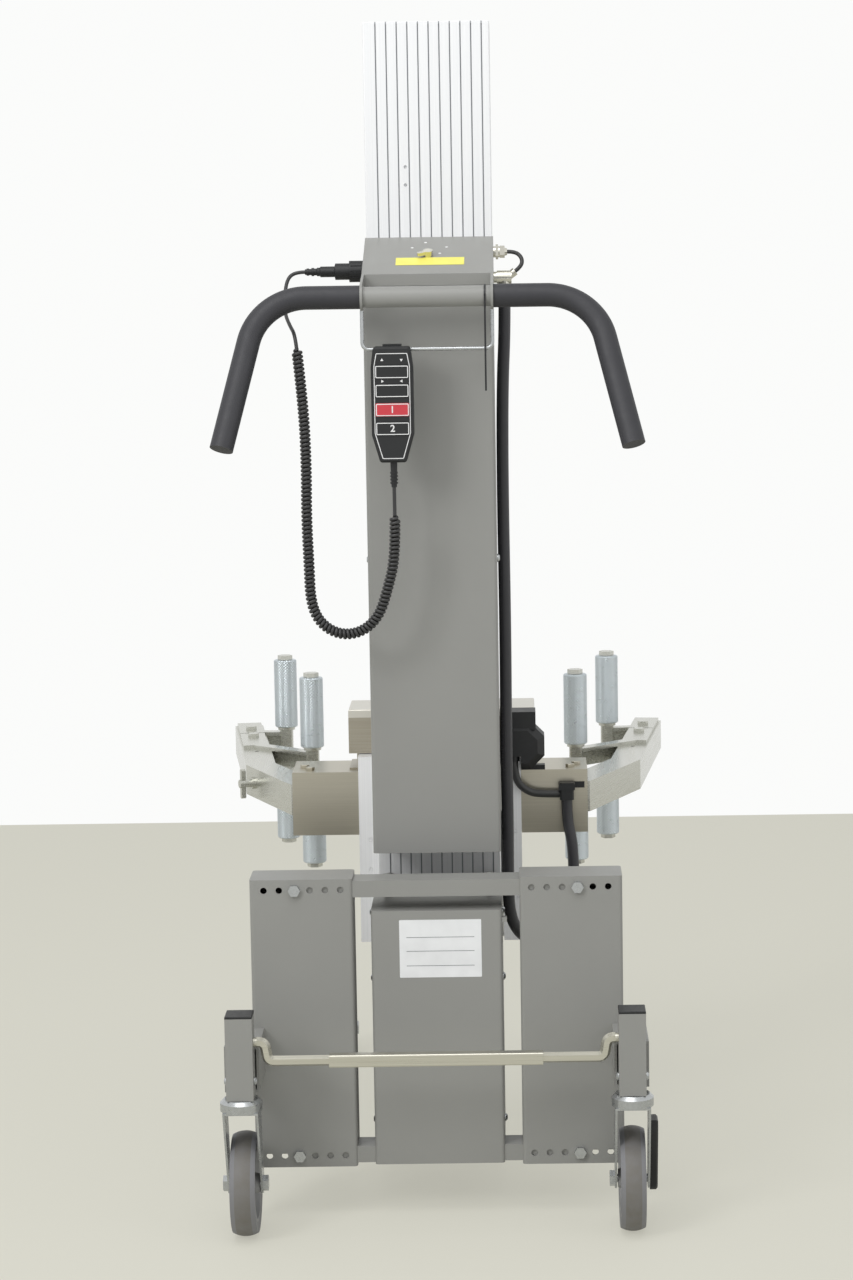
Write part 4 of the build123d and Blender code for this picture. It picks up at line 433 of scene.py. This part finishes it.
axis = centreline(CURLY_ROUTE)
reach = [0.0]
for a, b in zip(axis, axis[1:]):
    reach.append(reach[-1] + (b - a).length)
steps = int(reach[-1] / TURN_PITCH) * STEPS_PER_TURN
side = Vector((1, 0, 0))
coil = []
place = 0
for step in range(steps + 1):
    along = reach[-1] * step / steps
    while place < len(axis) - 2 and reach[place + 1] < along:
        place += 1
    run = axis[place + 1] - axis[place]
    spot = axis[place] + run * ((along - reach[place]) / max(run.length, 1e-9))
    run.normalize()
    side = (side - run * side.dot(run)).normalized()
    other = run.cross(side)
    angle = math.tau * step / STEPS_PER_TURN
    open_out = min(1.0, step / STEPS_PER_TURN, (steps - step) / STEPS_PER_TURN)
    coil.append(spot + (side * math.cos(angle) + other * math.sin(angle)) * TURN_RADIUS * open_out)
curly = lead("curly_lead", "curly_cord", coil, LEAD_THICK, "chassis", rubber, 2)
curly.data.bevel_resolution = 2
coil_length = sum((b - a).length for a, b in zip(coil, coil[1:]))

# Braided sleeve: black polyester filaments crossing at an angle, in small bundles, round the
# motor's wires, with painted sheen on the bundles and painted shade between them. The fixed run
# comes down the mast and turns up again beside the housing, and the moving run goes on from its
# end and rides with the carriage.
FIXED_THICK = 0.015
MOVING_THICK = 0.0145
ROUND_BUNDLES = 420
ALONG_BUNDLES = 300
FIXED_ROUTE = [(0.092, -0.166, 1.118), (0.092, -0.166, 1.070), (0.088, -0.169, 0.998),
               (0.0865, -0.171, 0.878), (0.0875, -0.171, 0.700), (0.0865, -0.172, 0.555),
               (0.0872, -0.1705, 0.447), (0.0866, -0.171, 0.380), (0.0875, -0.1695, 0.335),
               (0.0987, -0.158, 0.3073), (0.118, -0.1382, 0.2913), (0.1404, -0.1153, 0.2913),
               (0.1598, -0.0954, 0.3073), (0.171, -0.084, 0.335), (0.1705, -0.0815, 0.375)]
MOVING_ROUTE = [(0.1705, -0.0815, 0.375), (0.170125, -0.079625, 0.405), (0.163, -0.070, 0.434),
                (0.163, -0.070, 0.462)]
braid = Finish("braided_sleeve", (0.15, 0.15, 0.17), 0.42, Specular_IOR_Level=0.6)
x, y, z = braid.split(braid.place())
bundle, climb = (x + y) * ROUND_BUNDLES, z * ALONG_BUNDLES
weave = maths("PINGPONG", bundle + climb, 0.5) * maths("PINGPONG", bundle - climb, 0.5) * 4
# Painted sheen on the crossing bundles and painted shade between them.
braid.tint(weave, 0.45, 2.4)
braid.feed("Roughness", weave * 0.3 + 0.3)
braid.bump(weave, 0.0006, 0.8)
fixed_run = lead("fixed_sleeve", "sleeve_fixed", FIXED_ROUTE, FIXED_THICK, "chassis", braid, 20)
moving_run = lead("moving_sleeve", "sleeve_moving", MOVING_ROUTE, MOVING_THICK, "carriage", braid, 20)

# Motor lead: a thick round cord of black rubber, from the joint at the sleeve's end to the gear
# motor on the carriage.
MOTOR_THICK = 0.010
MOTOR_ROUTE = [(0.154, -0.070, 0.469), (0.133, -0.070, 0.469), (0.113, -0.074, 0.4725),
               (0.096, -0.078, 0.490), (0.096, -0.078, 0.514)]
motor_lead = lead("motor_lead", "motor_cable", MOTOR_ROUTE, MOTOR_THICK, "carriage", rubber, 20)

# Printed marks of the handset: a white line round the fields, a frame on each key, two plain
# numbers and small direction marks, all printed on the foil.
HANDSET_X = -0.042
CASE_FACE_Y = -0.3282
KEY_FACE_Y = -0.3296
TOP_KEY_Z = 1.0245
KEY_PITCH = 0.0224
PRINT = 0.00015
FIGURE_HIGH = 0.0115
MARK = 0.0021
CASE_OUTLINE = [(-0.0125, 0.9215), (0.0125, 0.9215), (0.0214, 0.952), (0.0214, 1.0315),
                (0.0185, 1.0465), (-0.0185, 1.0465), (-0.0214, 1.0315), (-0.0214, 0.952)]
white_print = moulded("white_print", (0.93, 0.93, 0.93), 0.45)


def add_piece(name, made, finish, body):
    """Makes a piece of a bmesh, with its faces outwards."""
    bmesh.ops.recalc_face_normals(made, faces=made.faces[:])
    mesh = bpy.data.meshes.new(name)
    made.to_mesh(mesh)
    made.free()
    mesh.materials.append(finish.material)
    thing = bpy.data.objects.new(name, mesh)
    scene.collection.objects.link(thing)
    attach(thing, body)


def card(name, corners, finish, body, spot, line=0.0, thick=PRINT, round_by=0.0, lean=0.0):
    """A thin plate from its corners in its own plane, or a frame of the stated line width.

    It faces -Y and leans back by the stated angle."""
    made = bmesh.new()
    made.faces.new([made.verts.new((x, 0, z)) for x, z in corners])
    if round_by:
        bmesh.ops.bevel(made, geom=made.verts[:], offset=round_by, segments=4, profile=0.5,
                        affect="VERTICES", material=-1)
    if line:
        made.faces.ensure_lookup_table()
        bmesh.ops.inset_region(made, faces=made.faces[:], thickness=line, use_boundary=True,
                               use_even_offset=True)
        inner = max(made.faces, key=lambda face: len(face.verts))
        bmesh.ops.delete(made, geom=[inner], context="FACES_ONLY")
    raised = bmesh.ops.extrude_face_region(made, geom=made.faces[:])
    bmesh.ops.translate(made, vec=(0, -thick, 0),
                        verts=[v for v in raised["geom"] if isinstance(v, bmesh.types.BMVert)])
    put_there = Matrix.Translation(spot) @ Matrix.Rotation(lean, 4, "X")
    bmesh.ops.transform(made, matrix=put_there, verts=made.verts[:])
    add_piece(name, made, finish, body)


def oblong(wide, high):
    return [(-wide / 2, -high / 2), (wide / 2, -high / 2), (wide / 2, high / 2), (-wide / 2, high / 2)]


def star(radius, corners, turn=0.0):
    """The corners of a regular figure, the first one at the turn from straight up."""
    angles = [turn - k * math.tau / corners for k in range(corners)]
    return [(radius * math.sin(angle), radius * math.cos(angle)) for angle in angles]


card("case_line", CASE_OUTLINE, white_print, "chassis", (HANDSET_X, CASE_FACE_Y, 0), line=0.0009,
     round_by=0.0012)
for key in range(4):
    card(f"key_frame_{key + 1}", oblong(0.0388, 0.0144), white_print, f"handset_key_{key + 1}",
         (HANDSET_X, KEY_FACE_Y, TOP_KEY_Z - KEY_PITCH * key), line=0.0010, round_by=0.0016)
for number, (x, z, turn) in enumerate([(-0.0115, 1.0385, 0), (0.0115, 1.0385, math.pi),
                                       (-0.0115, 1.0135, math.pi / 2), (0.0115, 1.0135, -math.pi / 2)]):
    card(f"direction_mark_{number + 1}", star(MARK, 3, turn), white_print, "chassis",
         (HANDSET_X + x, CASE_FACE_Y, z), line=0.0005)
for key, figure in ((3, "1"), (4, "2")):
    letter = bpy.data.curves.new("figure", "FONT")
    letter.body, letter.size, letter.extrude, letter.offset = figure, FIGURE_HIGH, PRINT / 2, 0.0002
    letter.align_x, letter.align_y = "CENTER", "CENTER"
    flat = bpy.data.objects.new("figure", letter)
    scene.collection.objects.link(flat)
    solid = bpy.data.meshes.new_from_object(flat.evaluated_get(bpy.context.evaluated_depsgraph_get()))
    bpy.data.objects.remove(flat)
    key_middle = (HANDSET_X, KEY_FACE_Y - PRINT / 2, TOP_KEY_Z - KEY_PITCH * (key - 1))
    solid.transform(Matrix.Translation(key_middle) @ Matrix.Rotation(math.pi / 2, 4, "X"))
    solid.materials.clear()
    solid.materials.append(white_print.material)
    thing = bpy.data.objects.new(f"key_figure_{key}", solid)
    scene.collection.objects.link(thing)
    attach(thing, f"handset_key_{key}")

# Plain labels: a yellow foil glued on the slope of the head, and a white one with three ruled
# lines on the housing.
SLOPE_HIGH, SLOPE_DEEP = 0.043, 0.115
SLOPE_LEAN = math.atan2(SLOPE_HIGH, SLOPE_DEEP) - math.pi / 2
LABEL_X = 0.0045
LABEL_FACE_Y = -0.3411
LABEL_THICK = 0.0002
yellow = moulded("yellow_foil", (0.97, 0.93, 0.42), 0.4)
card("slope_label", oblong(0.083, 0.0245), yellow, "chassis", (0.0025, -0.217, 1.1524),
     lean=SLOPE_LEAN, round_by=0.0008)
paper = moulded("white_foil", (0.94, 0.945, 0.95), 0.4)
card("housing_label", oblong(0.099, 0.071), paper, "chassis", (LABEL_X, LABEL_FACE_Y, 0.3305),
     thick=LABEL_THICK, round_by=0.001)
ink = moulded("ruled_line", (0.45, 0.45, 0.47), 0.5)
for row, z in enumerate((0.3445, 0.3275, 0.3095)):
    card(f"label_line_{row + 1}", oblong(0.082, 0.0006), ink, "chassis",
         (LABEL_X, LABEL_FACE_Y - LABEL_THICK, z))

# Marks round the switch on the head's slope: four plain painted dots. Each has its place across
# the slope and its share of the way down it.
SLOPE_TOP_Y, SLOPE_TOP_Z = -0.140, 1.181
DOT_RADIUS = 0.0019
DOT_LIFT = 0.0002
for number, (x, down) in enumerate(((-0.020, 0.30), (0.022, 0.29), (-0.004, 0.16), (0.014, 0.46))):
    card(f"switch_mark_{number + 1}", star(DOT_RADIUS, 8), white_print, "chassis",
         (x, SLOPE_TOP_Y - SLOPE_DEEP * down, SLOPE_TOP_Z - SLOPE_HIGH * down + DOT_LIFT), lean=SLOPE_LEAN)

# Cable tie: a thin black plastic strap pulled round the handlebar's tube by the right cheek, with
# its tail hanging down.
TIE_X = 0.069
TIE_HALF_WIDE, TIE_THICK = 0.0011, 0.0011
TIE_TAIL = 0.112
TUBE_Y, TUBE_Z, TUBE_R = -0.300, 1.112, 0.0127
black = moulded("black_tie", (0.10, 0.10, 0.11), 0.4)
strap = bmesh.new()
strap.faces.new([strap.verts.new((TIE_X + x, TUBE_Y, TUBE_Z + TUBE_R + rise)) for x, rise in
                 ((-TIE_HALF_WIDE, 0), (TIE_HALF_WIDE, 0), (TIE_HALF_WIDE, TIE_THICK),
                  (-TIE_HALF_WIDE, TIE_THICK))])
bmesh.ops.spin(strap, geom=strap.faces[:] + strap.edges[:] + strap.verts[:], cent=(TIE_X, TUBE_Y, TUBE_Z),
               axis=(1, 0, 0), angle=math.tau, steps=32, use_merge=True)
bmesh.ops.remove_doubles(strap, verts=strap.verts[:], dist=1e-6)
add_piece("handle_tie", strap, black, "chassis")
card("tie_tail", [(-TIE_HALF_WIDE, -TIE_TAIL), (TIE_HALF_WIDE, -TIE_TAIL), (TIE_HALF_WIDE, 0.002),
                  (-TIE_HALF_WIDE, 0.002)], black, "chassis", (TIE_X, TUBE_Y - TUBE_R, TUBE_Z),
     thick=TIE_THICK)

bpy.context.view_layer.update()
